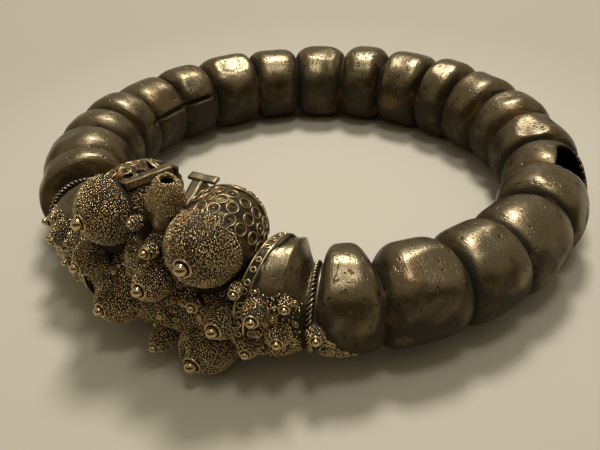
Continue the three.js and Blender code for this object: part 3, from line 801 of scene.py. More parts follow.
def capped(grid, hubs, flip=False, **masks):
    """A grid whose columns close on themselves, with a fan at each end onto its hub."""
    rows, columns = grid.shape[:2]
    ring = np.arange(columns)
    beside = (ring + 1) % columns
    bottom, top = rows * columns, rows * columns + 1
    last = (rows - 1) * columns
    fans = np.concatenate([np.stack([beside, ring, np.full(columns, bottom)], 1),
                           np.stack([last + ring, last + beside, np.full(columns, top)], 1)])
    quads = grid_faces(rows, columns, closed=True)
    if flip:
        quads, fans = quads[:, ::-1], fans[:, ::-1]
    return patch(np.concatenate([grid.reshape(-1, 3), hubs]), quads, fans, **masks)


def lathe_grid(radius, height, origin, basis, segments, **masks):
    """A turned surface from its profile's two arrays, bottom to top, its poles closed by a fan."""
    angle = np.linspace(0, 2 * np.pi, segments, endpoint=False)
    radii, heights, angles = np.broadcast_arrays(radius[:, None], height[:, None], angle[None, :])
    grid = lathe_points(radii, heights, angles, origin, basis)
    hubs = np.stack([origin + height[0] * basis[2], origin + height[-1] * basis[2]])
    spread_masks = {name: np.concatenate([np.repeat(value, segments), value[[0, -1]]])
                    if np.ndim(value) else value for name, value in masks.items()}
    return capped(grid, hubs, **spread_masks)


def granule_rows(radius, height, pitch, rng):
    """Angle, radius and height of granules in rings, evenly spaced along the profile's length."""
    length = np.concatenate([[0], np.cumsum(np.hypot(np.diff(radius), np.diff(height)))])
    rows = np.arange(pitch / 2, length[-1], pitch * 0.9)
    radius_at = np.interp(rows, length, radius)
    height_at = np.interp(rows, length, height)
    slope = np.stack([np.gradient(radius_at, rows), np.gradient(height_at, rows)], 1)
    found = []
    for row in range(len(rows)):
        count = int(2 * np.pi * radius_at[row] / pitch)
        if count < 3:
            continue
        angle = rng.uniform(0, 2 * np.pi) + np.arange(count) * 2 * np.pi / count
        angle += rng.normal(0, GRANULE_PLAY * pitch / radius_at[row], count)
        shift = rng.normal(0, GRANULE_PLAY * pitch, count)
        moved = [radius_at[row] + shift * slope[row, 0], height_at[row] + shift * slope[row, 1]]
        found.append(np.column_stack([angle, *moved, np.tile(slope[row], (count, 1))]))
    return np.concatenate(found)


def turned_places(radius, height, pitch, origin, basis, side, rng):
    """Places and outward directions of granules on a turned form; side is -1 where its profile runs down."""
    angle, ring, level, slope_r, slope_h = granule_rows(radius, height, pitch, rng).T
    places = lathe_points(ring, level, angle, origin, basis)
    normals = lathe_points(side * slope_h, -side * slope_r, angle, np.zeros(3), basis)
    return places, normals / np.linalg.norm(normals, axis=1, keepdims=True)


def strewn(places, normals, free, sizes, rng):
    """Granules of a range of sizes at the free places."""
    return granules(places[free], normals[free], GRANULE_RADIUS * rng.uniform(*sizes, free.sum()), rng)


# %% [markdown]
# ## Where forms hide one another
# A granule that would lie inside a neighbouring dome is left out, as a smith would leave it out. For
# this each form can say which points lie inside it.

# %% Inside tests
# For each name, the forms that hide what lies inside them
FORMS = {}


def inside_turned(points, form):
    """Inside a turned form: between its ends and nearer its axis than its profile there."""
    local = (points - form["origin"]) @ form["basis"].T
    near = np.hypot(local[:, 0], local[:, 1])
    limit = np.interp(local[:, 2], form["height"], form["radius"], left=-1, right=-1)
    return near < limit


def inside_egg(points, form):
    """Inside an egg: the sum of squares of its scaled coordinates is below one."""
    local = (points - form["origin"]) @ form["basis"].T / form["half"]
    return (local ** 2).sum(1) < 1


def inside_tube(points, form):
    """Inside a stretch of tube: between its ends and nearer its middle line than its radius."""
    turn = np.arctan2(points[:, 0], -points[:, 1])
    along = turn * HOOP_RADIUS
    out = np.hypot(points[:, 0], points[:, 1]) - HOOP_RADIUS
    start, end = form["ends"]
    slid = along + form["slant"] * out
    return (np.hypot(out, points[:, 2]) < form["radius"]) & (slid > start) & (slid < end)


TESTS = {"turned": inside_turned, "egg": inside_egg, "tube": inside_tube}


def shown(points, own):
    """True where a point lies inside no form but its own."""
    free = np.ones(len(points), bool)
    for name, forms in FORMS.items():
        if name in own:
            continue
        for form in forms:
            free &= ~TESTS[form["kind"]](points, form)
    return free


# %% [markdown]
# ## Places on the clasp
# Each boss stands at a place along the hoop and around the tube. Its dome rises along an axis that is
# nearly level, and its root goes straight into the core. The same table of sizes drives the solids.

# %% Table of bosses
BOSSES = {
    # name: along, around, lift, radius, height, ball, rise, lean
    "middle": (-0.4, 38, 0.7, 2.5, 3.6, 0.7, 8, 0),
    "left_upper": (-10.8, 35, -0.3, 2.7, 3.6, 0.65, -8, 0),
    "right_upper": (8.1, 12, -1.1, 2.4, 3.4, 0.75, 3, -10),
    "left_lower": (-7.1, -17, -1.7, 3.6, 4.3, 0.65, 2, 0),
    "right_lower": (5.2, -47, -0.4, 4.1, 4.4, 0.85, -8, -9),
    "bottom": (-0.6, -45, 0, 1.8, 3.2, 0.5, -6, 0),
    "right_a": (11.7, 30, 0.5, 1.75, 2.7, 0.6, 0, 0),
    "right_b": (14.1, 4, -0.9, 1.9, 2.6, 0.55, -5, 0),
    "right_c": (10.8, -16, -0.3, 1.6, 2.4, 0.5, 0, 0),
    "right_d": (14.9, 38, 0.9, 0.85, 1.6, 0.45, 0, 0),
    "right_e": (9.7, 46, 2, 0.85, 1.6, 0.45, 0, 0),
    "right_f": (18.1, 4, -0.7, 1.3, 1.9, 0.5, 0, 0),
    "left_a": (-19, 29, -1, 2.2, 2.7, 0.5, -14, 0),
    "left_b": (-22.2, 10, -1.4, 0.9, 1.8, 0.5, -10, 0),
    "left_c": (-23.8, 22, -0.8, 0.9, 1.5, 0.45, 0, 0),
    "left_d": (-21.5, 38, -0.3, 0.9, 1.3, 0.45, 0, 0),
    "left_e": (-16.3, 3, -1.2, 1, 1.8, 0.45, -5, 0),
    "knob_left": (-3.2, 68, 5.6, 1, 1.4, 0.4, 20, 0),
    "knob_middle": (-0.4, 57, 4.2, 1, 1.6, 0.5, 10, 0),
    "knob_front": (5, 27, 0.8, 0.8, 1.2, 0.5, 0, 0),
    "knob_low": (0.6, 2, -0.5, 0.8, 1, 0.4, 0, 0),
    "foot": (-8, -92, -1.4, 3.1, 3.1, 0.6, -88, 0),
}
POD_FRONTS = {
    "right": (5.2, 71, 3.5, 5.2, 5.4, 0.85, 0, -6),
    "left": (-9.1, 73, 4.2, 4.9, 5.0, 0.8, 0, -4),
}
POD_EGGS = {
    # along, around, lift, then half width, half depth and half height
    "right": (5.6, 92, 2.6, (5.4, 6.9, 5.4)),
    "left": (-9.2, 93, 3, (4.5, 7.4, 5.0)),
}
ROOT_SHARE = 0.85
ROOT_REACH = 4.2
RING_SHARE = 1.45
DOME_STEPS = 26
BALL_SHARE = 1.12
BOSS_SEGMENTS, ROOT_SEGMENTS, SEAT_SEGMENTS = 40, 28, 26


def boss_frame(row):
    """Foot point, basis along the boss's axis, and direction of its root."""
    along, around, lift = row[:3]
    rise, lean = np.radians(row[6]), np.radians(row[7])
    outward, forward = directions(along)
    axis = outward * np.cos(rise) + np.array([0, 0, 1.0]) * np.sin(rise)
    axis = axis * np.cos(lean) + forward * np.sin(lean)
    return on_tube(along, around, TUBE_RADIUS + lift), basis_on(axis, forward)


def dome_profile(row):
    """Half an ellipse from the boss's foot to the wire ring that seats its ball."""
    radius, height, ball = row[3:6]
    ring = ball * RING_SHARE
    stop = np.arccos(min(0.9, ring / radius))
    angle = np.linspace(0, stop, DOME_STEPS)
    return radius * np.cos(angle), height * np.sin(angle) / np.sin(stop)


def root_profile(row):
    """Straight root below the dome's foot."""
    return np.array([row[3] * ROOT_SHARE] * 2), np.array([-ROOT_REACH, 0.0])


for side, (along, around, lift, half) in POD_EGGS.items():
    outward, forward = directions(along)
    egg = {"kind": "egg", "origin": on_tube(along, around, TUBE_RADIUS + lift), "half": np.array(half),
           "basis": np.stack([forward, outward, [0, 0, 1.0]])}
    FORMS[f"pod_{side}"] = [egg]
for name, row in [*((f"boss_{key}", value) for key, value in BOSSES.items()),
                  *((f"pod_{key}", value) for key, value in POD_FRONTS.items())]:
    origin, basis = boss_frame(row)
    radius, height = dome_profile(row)
    FORMS.setdefault(name, []).append(
        {"kind": "turned", "origin": origin, "basis": basis, "radius": radius, "height": height})
for name, ends, slant, inset in (("core", (LEFT_END, RIGHT_END - CORE_GAP), 0.0, CORE_INSET),
                                 ("hoop_right", (RIGHT_END, 40), END_SLANT, 0.1),
                                 ("hoop_left", (-60, LEFT_END), -END_SLANT, 0.1)):
    FORMS[name] = [{"kind": "tube", "ends": ends, "slant": slant, "radius": TUBE_RADIUS - inset}]

# %% [markdown]
# ## Ball tips
# Each boss ends in a rubbed ball that sits in a ring of wire. The ball is a small turned sphere and the
# ring is a thin torus; both are part of the boss's own piece.

# %% Balls, rings and wires


def sphere(centre, radius, basis, segments=20, **masks):
    """A ball turned about the basis's axis."""
    polar = np.linspace(0.06, np.pi - 0.06, 13)
    return lathe_grid(radius * np.sin(polar), -radius * np.cos(polar), centre, basis, segments, **masks)


def torus_quads(rows, columns):
    """Quads of a grid that closes on itself both ways."""
    row, column = np.meshgrid(np.arange(rows), np.arange(columns), indexing="ij")
    next_row, next_column = (row + 1) % rows, (column + 1) % columns
    return np.stack([row * columns + column, row * columns + next_column,
                     next_row * columns + next_column, next_row * columns + column], -1).reshape(-1, 4)


def wire_ring(centre, radius, wire, basis, segments=26, sides=8, squash=1.0, **masks):
    """A torus: a circle of the wire's radius carried round a ring that faces along the axis."""
    turn = np.linspace(0, 2 * np.pi, segments, endpoint=False)[:, None]
    side = np.linspace(0, 2 * np.pi, sides, endpoint=False)[None, :]
    far = radius + wire * np.cos(side)
    local = np.stack([far * np.cos(turn), squash * far * np.sin(turn), wire * np.sin(side) + 0 * turn], -1)
    return patch(centre + local @ basis, torus_quads(segments, sides)[:, [0, 3, 2, 1]], **masks)


def ball_tip(origin, basis, height, ball, worn):
    """The ball, its seat and its ring, at a height along the boss's axis."""
    ring = ball * RING_SHARE
    centre = origin + (height + ball * 0.6) * basis[2]
    seat = lathe_grid(np.array([ring * 1.05, ring * 0.98, ball * 0.8]),
                      height + np.array([-0.5, 0.02, 0.1]) * ball, origin, basis, SEAT_SEGMENTS, dirt=0.9)
    return [sphere(centre, ball * BALL_SHARE, basis, wear=worn, dirt=0.0, polish=1.0), seat,
            wire_ring(origin + (height + 0.12 * ball) * basis[2], ring, 0.16 * ball + 0.03, basis,
                      wear=0.7, dirt=0.15)]


# %% [markdown]
# ## The bosses
# A boss is a dark dome under its granules, then the granules, then the ball tip. The dome's foot runs
# on into its root, so it never shows an open edge.

# %% Bosses


def boss_patches(name, row, rng):
    """The dome, its root, its granules and its ball tip."""
    origin, basis = boss_frame(row)
    radius, height = dome_profile(row)
    root_radius, root_height = root_profile(row)
    patches = [lathe_grid(np.concatenate([[radius[0] * 0.96], radius]), np.concatenate([[-0.5], height]),
                          origin, basis, BOSS_SEGMENTS, dirt=1.0)]
    root_axis = tube_normal(row[0], row[1])
    root_basis = basis_on(root_axis, directions(row[0])[1])
    patches.append(lathe_grid(root_radius, root_height, origin, root_basis, ROOT_SEGMENTS, dirt=1.1))
    places, normals = turned_places(radius[::-1], height[::-1], GRANULE_PITCH, origin, basis, -1, rng)
    free = shown(places, (name,))
    size = GRANULE_RADIUS * rng.uniform(0.85, 1.1, len(places))
    patches.append(granules(places[free], normals[free], size[free], rng))
    return patches + ball_tip(origin, basis, row[4], row[5], rng.uniform(0.5, 1.0))


rng = np.random.default_rng(7)
for key, row in BOSSES.items():
    name = f"boss_{key}"
    make_piece(f"{key}_boss", boss_patches(name, row, rng), GRAINED_SILVER, [name])

# %% [markdown]
# ## The pods
# The two pods are long eggs that lie across the tube. Their fronts swell into a big granulated dome,
# and their backs carry the ring-punched plates.

# %% Pods
PLATE_LIFT = 0.42
PLATE_LOW = TUBE_RADIUS + 1.05
EGG_SEGMENTS = 64
# Angles about each pod from its top, and how far out the front edge of its plate lies there
PLATE_EDGES = {
    "right": [(-100, 0.3), (-54, 0.6), (-26, 2.8), (-10, 3.4), (23, 3.3), (42, 3.8), (59, 4.0), (101, 3.7)],
    "left": [(-100, 2.4), (-16, 3.2), (11, 3.3), (32, 2.7), (38, -1.2), (100, -2.4)],
}


def plate_edge(side, angle):
    """How far out the plate's front edge lies at an angle in degrees, a little ragged."""
    angles, outs = np.array(PLATE_EDGES[side]).T
    return np.interp(angle, angles, outs) + 0.10 * np.sin(angle * 0.31) + 0.06 * np.sin(angle * 0.83)


def egg_rows(form, pitch, rng):
    """Granules in rings about the egg's long axis, with their outward directions."""
    half = form["half"]
    polar = np.linspace(0.05, np.pi - 0.05, 160)
    mean = (half[0] + half[2]) / 2
    rows = granule_rows(mean * np.sin(polar), half[1] * np.cos(polar), pitch, rng)
    angle, ring, level = rows[:, 0], rows[:, 1], rows[:, 2]
    across, upward = ring * np.cos(angle) * half[0] / mean, ring * np.sin(angle) * half[2] / mean
    local = np.column_stack([across, level, upward])
    normals = local / half ** 2
    normals /= np.linalg.norm(normals, axis=1, keepdims=True)
    return local @ form["basis"] + form["origin"], normals @ form["basis"]


def egg_grid(form, **masks):
    """The egg's surface, closed at both poles; its long axis is the basis's second direction."""
    half = form["half"]
    polar = np.linspace(0.04, np.pi - 0.04, 44)
    basis = np.stack([form["basis"][2], form["basis"][0], form["basis"][1]])
    radius, height = np.sin(polar)[::-1] * half[0], np.cos(polar)[::-1] * half[1]
    grid = lathe_grid(radius, height, np.zeros(3), np.eye(3), EGG_SEGMENTS, **masks)
    grid["points"] = grid["points"] * [half[2] / half[0], 1, 1] @ basis + form["origin"]
    return grid


def under_plate(points, egg, side):
    """True where a pod's plate covers a point: behind the plate's front edge and above its low edge."""
    local = (points - egg["origin"]) @ egg["basis"].T / egg["half"]
    angle = np.degrees(np.arctan2(local[:, 0], local[:, 2]))
    out = np.hypot(points[:, 0], points[:, 1]) - HOOP_RADIUS
    return (out < plate_edge(side, angle)) & (points[:, 2] > PLATE_LOW)


for side in ("right", "left"):
    name = f"pod_{side}"
    egg, front = FORMS[name]
    row = POD_FRONTS[side]
    patches = [egg_grid(egg, dirt=1.0)]
    places, normals = egg_rows(egg, GRANULE_PITCH, rng)
    free = shown(places, (name,)) & ~inside_turned(places, front) & ~under_plate(places, egg, side)
    patches.append(strewn(places, normals, free, (0.85, 1.1), rng))
    dome = boss_patches(name, row, rng)
    make_piece(f"{side}_pod", patches + dome, GRAINED_SILVER, [name])

# %% [markdown]
# ## The ring-punched plates
# A thin plate lies close over the back of each pod. Its front edge wanders, so it is given as places at
# a few angles about the pod. It is punched with rings, each a double raised circle, every third with a
# small ball in its middle, and it has a low folded rim. The left plate is rough and corroded through in a few
# places.

# %% Thin sheets


def border_edges(faces):
    """The edges that only one face uses, each in that face's own direction."""
    edges = face_edges(faces)
    keys = np.sort(edges, 1) @ np.array([faces.max() + 1, 1])
    _, place, uses = np.unique(keys, return_inverse=True, return_counts=True)
    return edges[uses[place] == 1]


def thick_sheet(outer, inner, kept=None, closed=False, flip=False, **masks):
    """Two grids of the same shape joined along every border into a closed thin slab."""
    rows, columns = outer.shape[:2]
    count = rows * columns
    top = grid_faces(rows, columns, closed)
    if kept is not None:
        top = top[kept]
    if flip:
        top = top[:, ::-1]
    border = border_edges(top)
    sides = np.stack([border[:, 1], border[:, 0], border[:, 0] + count, border[:, 1] + count], 1)
    doubled = {name: np.concatenate([np.ravel(value)] * 2) if np.ndim(value) else value
               for name, value in masks.items()}
    return patch(np.concatenate([outer.reshape(-1, 3), inner.reshape(-1, 3)]),
                 np.concatenate([top, top[:, ::-1] + count, sides]), **doubled)


# %% Plates
# Radius, thickness, wear and dirt of a punched ring's two circles
PUNCHED_RING = [(0.86, 0.11, 0.5, 0.2), (0.6, 0.07, 0.1, 0.4)]
PLATE_THICKNESS = 0.4
PLATE_GRID = (84, 110)
RIM_OUT, RIM_WIDTH, RIM_LIFT = -3.3, 0.5, 0.2
# Angle about the pod and place outwards of each ring; the backs are filled with plain rows
PLATE_RINGS = {
    "right": [(15, -1.2), (35, -0.9), (53, -1.1), (8, 0.5), (26, 1.2), (51, 0.9), (5, 2.4), (-14, 2.3),
              (-10, 0.5), (32, 2.9), (52, 2.8), (73, 1.9), (72, -0.1), (-6, -1.4), (-28, 0.2), (-28, -1.6),
              (92, 1.0), (91, -1.1), (73, -2.0)],
    "left": [(-34, 2.0), (-12, 2.2), (-42, 0.2), (-20, 0.4), (2, 0.6), (-32, -1.5), (-8, -1.2),
             (-44, -3.3), (-20, -3.1), (-60, 1.4), (-62, -0.6), (-60, -2.5)],
}
BACK_RINGS = [(turn, -4.8) for turn in (-66, -40, -14, 12, 38, 64)]
HOLES = {
    "right": [],
    "left": [(13, -3.1, 0.75), (17, 1.1, 0.7), (20, -0.9, 0.62), (-2, 2.3, 0.35)],
}
ROUGHNESS = {"right": 0.05, "left": 0.13}


def on_plate(egg, lift, angle, out):
    """Point of the egg grown by lift, at an angle about its long axis and a place outwards."""
    half = egg["half"] + lift
    along_axis = out - (np.hypot(*egg["origin"][:2]) - HOOP_RADIUS)
    share = np.sqrt(np.clip(1 - (along_axis / half[1]) ** 2, 0, 1))
    turn = np.radians(angle)
    return np.stack([half[0] * share * np.sin(turn), along_axis, half[2] * share * np.cos(turn)], -1)


def plate_field(egg, side):
    """Angles and places outwards of the plate's grid: columns from side to side, rows from the front."""
    rows, columns = PLATE_GRID
    centre_out = np.hypot(*egg["origin"][:2]) - HOOP_RADIUS
    across = np.linspace(-1, 1, columns)[None, :]
    back = centre_out - egg["half"][1] - PLATE_LIFT + 0.25
    front = plate_edge(side, 100 * across)
    out = front + (back - front) * np.linspace(0, 1, rows)[:, None]
    share = np.sqrt(np.clip(1 - ((out - centre_out) / (egg["half"][1] + PLATE_LIFT)) ** 2, 0.003, 1))
    level = (PLATE_LOW - egg["origin"][2]) / ((egg["half"][2] + PLATE_LIFT) * share)
    return across * np.degrees(np.arccos(np.clip(level, -1, 1))), out


def plate_patches(egg, side):
    """The sheet with its holes, its rings and its folded rim."""
    angle, out = plate_field(egg, side)
    local = [on_plate(egg, lift, angle, out) for lift in (PLATE_LIFT, PLATE_LIFT - PLATE_THICKNESS)]
    rough = 1 + ROUGHNESS[side] * waviness(local[0], 1.7, 71)[..., None] / egg["half"].mean()
    surfaces = [grid * rough @ egg["basis"] + egg["origin"] for grid in local]
    rows, columns = angle.shape
    faces = grid_faces(rows, columns)
    middle = local[0].reshape(-1, 3)[faces].mean(1)
    kept = np.ones(len(faces), bool)
    for turn, place, radius in HOLES[side]:
        away = np.linalg.norm(middle - on_plate(egg, PLATE_LIFT, turn, place), axis=1)
        kept &= away > radius * (1 + 0.25 * waviness(middle, 1.1, 72))
    grime = 0.6 + 0.3 * waviness(local[0], 2.2, 73)
    patches = [thick_sheet(*surfaces, kept=kept, wear=-0.1 - grime * 0.4, dirt=grime,
                           stain=np.clip(ROUGHNESS[side] * 6 * waviness(local[0], 2.6, 74), 0, 1))]
    for number, (turn, place) in enumerate(PLATE_RINGS[side] + BACK_RINGS):
        spot = on_plate(egg, PLATE_LIFT, turn, place)
        basis = basis_on((spot / egg["half"] ** 2) @ egg["basis"], egg["basis"][1])
        spot = spot @ egg["basis"] + egg["origin"]
        for radius, wire, wear, dirt in PUNCHED_RING:
            patches.append(wire_ring(spot, radius, wire, basis, sides=6, squash=0.9, wear=wear, dirt=dirt))
        if number % 3 == 0:
            patches.append(sphere(spot, 0.17, basis, segments=8, wear=0.6, dirt=0.3))
    rim_out = RIM_OUT - RIM_WIDTH * np.linspace(0, 1, 4)[:, None]
    turns = np.linspace(-96, 100, 90)[None, :]
    wandering = rim_out + 0.12 * np.sin(np.radians(turns * 7))
    rims = [on_plate(egg, lift, turns, wandering) for lift in (PLATE_LIFT + RIM_LIFT, PLATE_LIFT - 0.1)]
    patches.append(thick_sheet(*(rim @ egg["basis"] + egg["origin"] for rim in rims), wear=0.9, dirt=0.1))
    return patches


for side in ("right", "left"):
    make_piece(f"{side}_ring_plate", plate_patches(FORMS[f"pod_{side}"][0], side), GRAINED_SILVER,
               [f"ring_plate_{side}"])

# %% [markdown]
# ## The core and the cone
# Between the pods the core rises to a low saddle, crusted with granules. The cone stands on it; its
# ball is gone, so its tip is an open hole.

# %% Core
SADDLE = {"kind": "egg", "origin": on_hoop(-1.6, 1.8, TUBE_RADIUS - 2.35),
          "half": np.array([6.5, 5.0, 5.4]),
          "basis": np.stack([directions(-1.6)[1], directions(-1.6)[0], [0, 0, 1.0]])}
CORE_REACH = TUBE_RADIUS - CORE_INSET
NECK_SHARE = 0.86
CORE_PITCH = 0.37
CORE_GRID = (60, 90)
core_start, core_end = LEFT_END + 0.3, RIGHT_END - CORE_GAP
core_rows = np.linspace(0, 1, CORE_GRID[0])
core_around = np.linspace(-90, 270, CORE_GRID[1], endpoint=False)
core_slant = -END_SLANT + (CORE_SLANT + END_SLANT) * core_rows
core_along = core_start + (core_end - core_start) * core_rows


def tube_patch(along, slant, reach, **masks):
    """A stretch of tube through slanted rings, closed by a disc at each end."""
    grid = on_leaning(along[:, None], core_around[None, :], reach, slant[:, None])
    return capped(grid, grid[[0, -1]].mean(1), flip=True, **masks)


core_patches = [tube_patch(core_along, core_slant, CORE_REACH, dirt=1.1), egg_grid(SADDLE, dirt=1.1)]
# The core's neck runs on into the hoop's open right end; its dark colour is painted shade in the gap.
core_patches.append(tube_patch(np.array([core_end - 1, RIGHT_END + 0.6]), np.array([CORE_SLANT, END_SLANT]),
                               NECK_SHARE * CORE_REACH, dirt=1.4, wear=-1.0))
grain_along, grain_around = np.meshgrid(np.arange(core_start + 0.4, core_end - 0.3, CORE_PITCH),
                                        np.arange(-90, 270, np.degrees(CORE_PITCH / CORE_REACH)))
grain_along = grain_along.ravel() + rng.normal(0, 0.06, grain_along.size)
grain_around = grain_around.ravel() + rng.normal(0, 0.6, grain_around.size)
grain_slant = np.interp(grain_along, core_along, core_slant)
places = on_leaning(grain_along, grain_around, CORE_REACH, grain_slant)
normals = tube_normal(grain_along, grain_around[:, None])
free = shown(places, ("core",)) & ~inside_egg(places, SADDLE)
core_patches.append(strewn(places, normals, free, (0.7, 1.35), rng))
places, normals = egg_rows(SADDLE, GRANULE_PITCH, rng)
free = shown(places, ("core",)) & ~inside_tube(places, FORMS["core"][0])
core_patches.append(strewn(places, normals, free, (0.6, 1.2), rng))

# %% Knobs scattered over the middle
MIDDLE_KNOBS = 70
KNOB_BALL = (0.2, 0.42)
KNOB_RINGS = 0.7


def scattered_knobs(places, normals, rng):
    """Small balls sunk in the surface, most of them in a ring of wire."""
    patches = []
    for place, normal in zip(places, normals):
        ball = rng.uniform(*KNOB_BALL)
        basis = basis_on(normal, np.array([0.31, 0.22, 0.9]))
        patches.append(sphere(place + normal * ball * 0.45, ball, basis, segments=12,
                              wear=rng.uniform(0, 0.9), dirt=rng.uniform(0, 0.5), polish=0.7,
                              stain=float(rng.uniform() > 0.8)))
        if rng.uniform() < KNOB_RINGS:
            patches.append(wire_ring(place + normal * 0.1, ball * 1.35, 0.11, basis, segments=16, sides=6,
                                     wear=0.6, dirt=0.3))
    return patches


knob_along = rng.uniform(core_start + 1, core_end - 1, MIDDLE_KNOBS * 3)
knob_around = rng.uniform(-75, 62, MIDDLE_KNOBS * 3)
places = on_tube(knob_along, knob_around, CORE_REACH)
egg_places, egg_normals = egg_rows(SADDLE, 1.5, rng)
places = np.concatenate([places, egg_places])
normals = np.concatenate([tube_normal(knob_along, knob_around[:, None]), egg_normals])
free = shown(places + 0.5 * normals, ("core",)) & ~inside_egg(places + 0.2 * normals, SADDLE)
free &= ~inside_tube(places + 0.2 * normals, FORMS["core"][0])
chosen = np.flatnonzero(free)[:MIDDLE_KNOBS]
core_patches += scattered_knobs(places[chosen], normals[chosen], rng)
make_piece("clasp_middle", core_patches, GRAINED_SILVER, ["clasp_core"])

# %% Open cone
CONE = (-2.8, 88, 1.3, 2.9, 9.0, 0.9, 84, 13)
CONE_HEIGHT = CONE[4]
CONE_STEPS, MOUTH_FROM, CONE_SEGMENTS = 60, 52, 48
CREASE_SHARE, CREASE_WIDTH, CREASE_DEPTH = 0.5, 0.14, 0.18
GRAINS_FROM, CONE_PITCH = 0.54, 0.92 * GRANULE_PITCH
cone_origin, cone_basis = boss_frame(CONE)
cone_height = np.array([-1.0, 0, 0.18, 0.35, 0.5, 0.65, 0.8, 0.9, 0.97, 1.0, 0.99, 0.9, 0.7]) * CONE_HEIGHT
cone_radius = np.array([2.3, 2.38, 2.75, 2.9, 2.8, 2.5, 2.05, 1.72, 1.35, 1.12, 0.95, 0.9, 0.85])
fine = np.linspace(0, len(cone_radius) - 1, CONE_STEPS)
steps = np.arange(len(cone_radius))
smooth_radius, smooth_height = np.interp(fine, steps, cone_radius), np.interp(fine, steps, cone_height)
crease = np.exp(-((smooth_height - CREASE_SHARE * CONE_HEIGHT) / CREASE_WIDTH) ** 2)
mouth = np.arange(CONE_STEPS) > MOUTH_FROM
cone_patches = [lathe_grid(smooth_radius - CREASE_DEPTH * crease * ~mouth, smooth_height, cone_origin,
                           cone_basis, CONE_SEGMENTS, dirt=np.where(mouth, 1.3, 0.45),
                           wear=np.where(mouth, -1.0, 0.4))]
upper = (smooth_height > GRAINS_FROM * CONE_HEIGHT) & ~mouth
places, normals = turned_places(smooth_radius[upper], smooth_height[upper], CONE_PITCH,
                                cone_origin, cone_basis, 1, rng)
size = GRANULE_RADIUS * rng.uniform(0.8, 1.1, len(places))
cone_patches.append(granules(places, normals, size, rng))
make_piece("open_tip_cone", cone_patches, GRAINED_SILVER, ["open_cone"])

# %% [markdown]
# ## Twisted wires and ragged bands
# A two-strand twisted wire lies in each collar's valley. Each strand is a thin tube carried along a
# helix about the wire's middle line. A ragged band of thin sheet edges the hoop's two ends.

# %% Twisted wires
STRAND = 0.215
TWISTS = 27
WIRE_STEPS, WIRE_SIDES = 420, 7
PLAIN_STEPS, PLAIN_SIDES = 160, 8
# How far the strands and the plain wire stand off the valley's bottom, and where the plain wire lies
STRAND_SEAT, PLAIN_SEAT, PLAIN_RADIUS, PLAIN_OFFSET = 0.25, 0.02, 0.22, 0.68


def strand(along, phase, seat, slant):
    """A tube along a helix: the middle line goes round the tube, the helix turns TWISTS times."""
    turn = np.linspace(0, 2 * np.pi, WIRE_STEPS, endpoint=False)
    around = np.degrees(turn)
    spin = TWISTS * turn + phase
    base = TUBE_RADIUS - valley_depth(around) + seat
    reach = base + STRAND * np.cos(spin)
    slide = STRAND * np.sin(spin)
    middle = on_leaning(along + slide, around, reach, slant)
    outward = tube_normal(np.full(WIRE_STEPS, along), around[:, None])
    sideways = np.broadcast_to(directions(along)[1], outward.shape)
    side = np.linspace(0, 2 * np.pi, WIRE_SIDES, endpoint=False)
    grid = (middle[:, None] + STRAND * np.cos(side)[None, :, None] * outward[:, None]
            + STRAND * np.sin(side)[None, :, None] * sideways[:, None])
    lift = np.repeat(np.cos(side)[None], WIRE_STEPS, 0)
    return patch(grid, torus_quads(WIRE_STEPS, WIRE_SIDES), wear=0.7 * lift + 0.3, dirt=0.5 - 0.6 * lift)


def plain_wire(along, radius, seat, slant):
    """A round wire laid round the tube."""
    around = np.linspace(0, 360, PLAIN_STEPS, endpoint=False)[:, None]
    side = np.linspace(0, 2 * np.pi, PLAIN_SIDES, endpoint=False)[None, :]
    reach = TUBE_RADIUS - valley_depth(around) + seat + radius * np.cos(side)
    grid = on_leaning(along + radius * np.sin(side), around, reach, slant)
    return patch(grid, torus_quads(PLAIN_STEPS, PLAIN_SIDES), wear=0.5, dirt=0.35)


for side, collar, slant in (("right", RIGHT_COLLAR, RIGHT_COLLAR_SLANT), ("left", LEFT_COLLAR, 0)):
    towards_end = -np.sign(collar)
    patches = [strand(collar, phase, STRAND_SEAT, slant) for phase in (0, np.pi)]
    patches.append(plain_wire(collar - towards_end * PLAIN_OFFSET, PLAIN_RADIUS, PLAIN_SEAT, slant))
    make_piece(f"{side}_twisted_wire", patches, STRIP_SILVER, [f"twisted_wire_{side}"])

# %% Ragged bands
BAND_NOTCHES = 7
BAND_RINGS = 34
BAND_PROUD, BAND_INSET = 0.22, 0.3
BAND_GRID = (8, 180)
BAND_WIRE_STEPS, BAND_WIRE_SIDES = 150, 7
# Inset and radius of the band's two wires; inset, radius and thickness of its rings
BAND_WIRES = [(0.14, 0.16), (1.3, 0.12)]
BAND_RING_INSET, BAND_RING = 0.72, (0.36, 0.12)


def band_reach(end, around):
    """Reach of the band's outer face: it lies on the swollen end of the collar."""
    swell = RIGHT_SWELL if end > 0 else LEFT_SWELL
    return TUBE_RADIUS + BAND_PROUD + swell * swollen_share(around, COLLAR_SHARPNESS)


def band_line(end, inset, around, reach):
    """Place on the slanted band: inset from the hoop's end, at an angle around and a reach."""
    return on_leaning(end + np.sign(end) * inset, around, reach, np.sign(end) * END_SLANT)


def ragged_band(end):
    """A thin strip round the tube whose inner edge is scalloped, with a row of rings between two wires."""
    around = np.linspace(0, 360, BAND_GRID[1], endpoint=False)
    across = np.linspace(0, 1, BAND_GRID[0])
    ragged = 0.7 * np.abs(np.sin(np.radians(around * BAND_NOTCHES / 2 + 20))) + 0.12 * np.sin(
        np.radians(around * 23))
    width = across[:, None] * (BAND_WIDTH - ragged)[None, :]
    surfaces = [band_line(end, width, around[None, :], band_reach(end, around) - sunk)
                for sunk in (0, BAND_PROUD + BAND_INSET)]
    return thick_sheet(*surfaces, closed=True, flip=end > 0, wear=0.2, dirt=0.7)


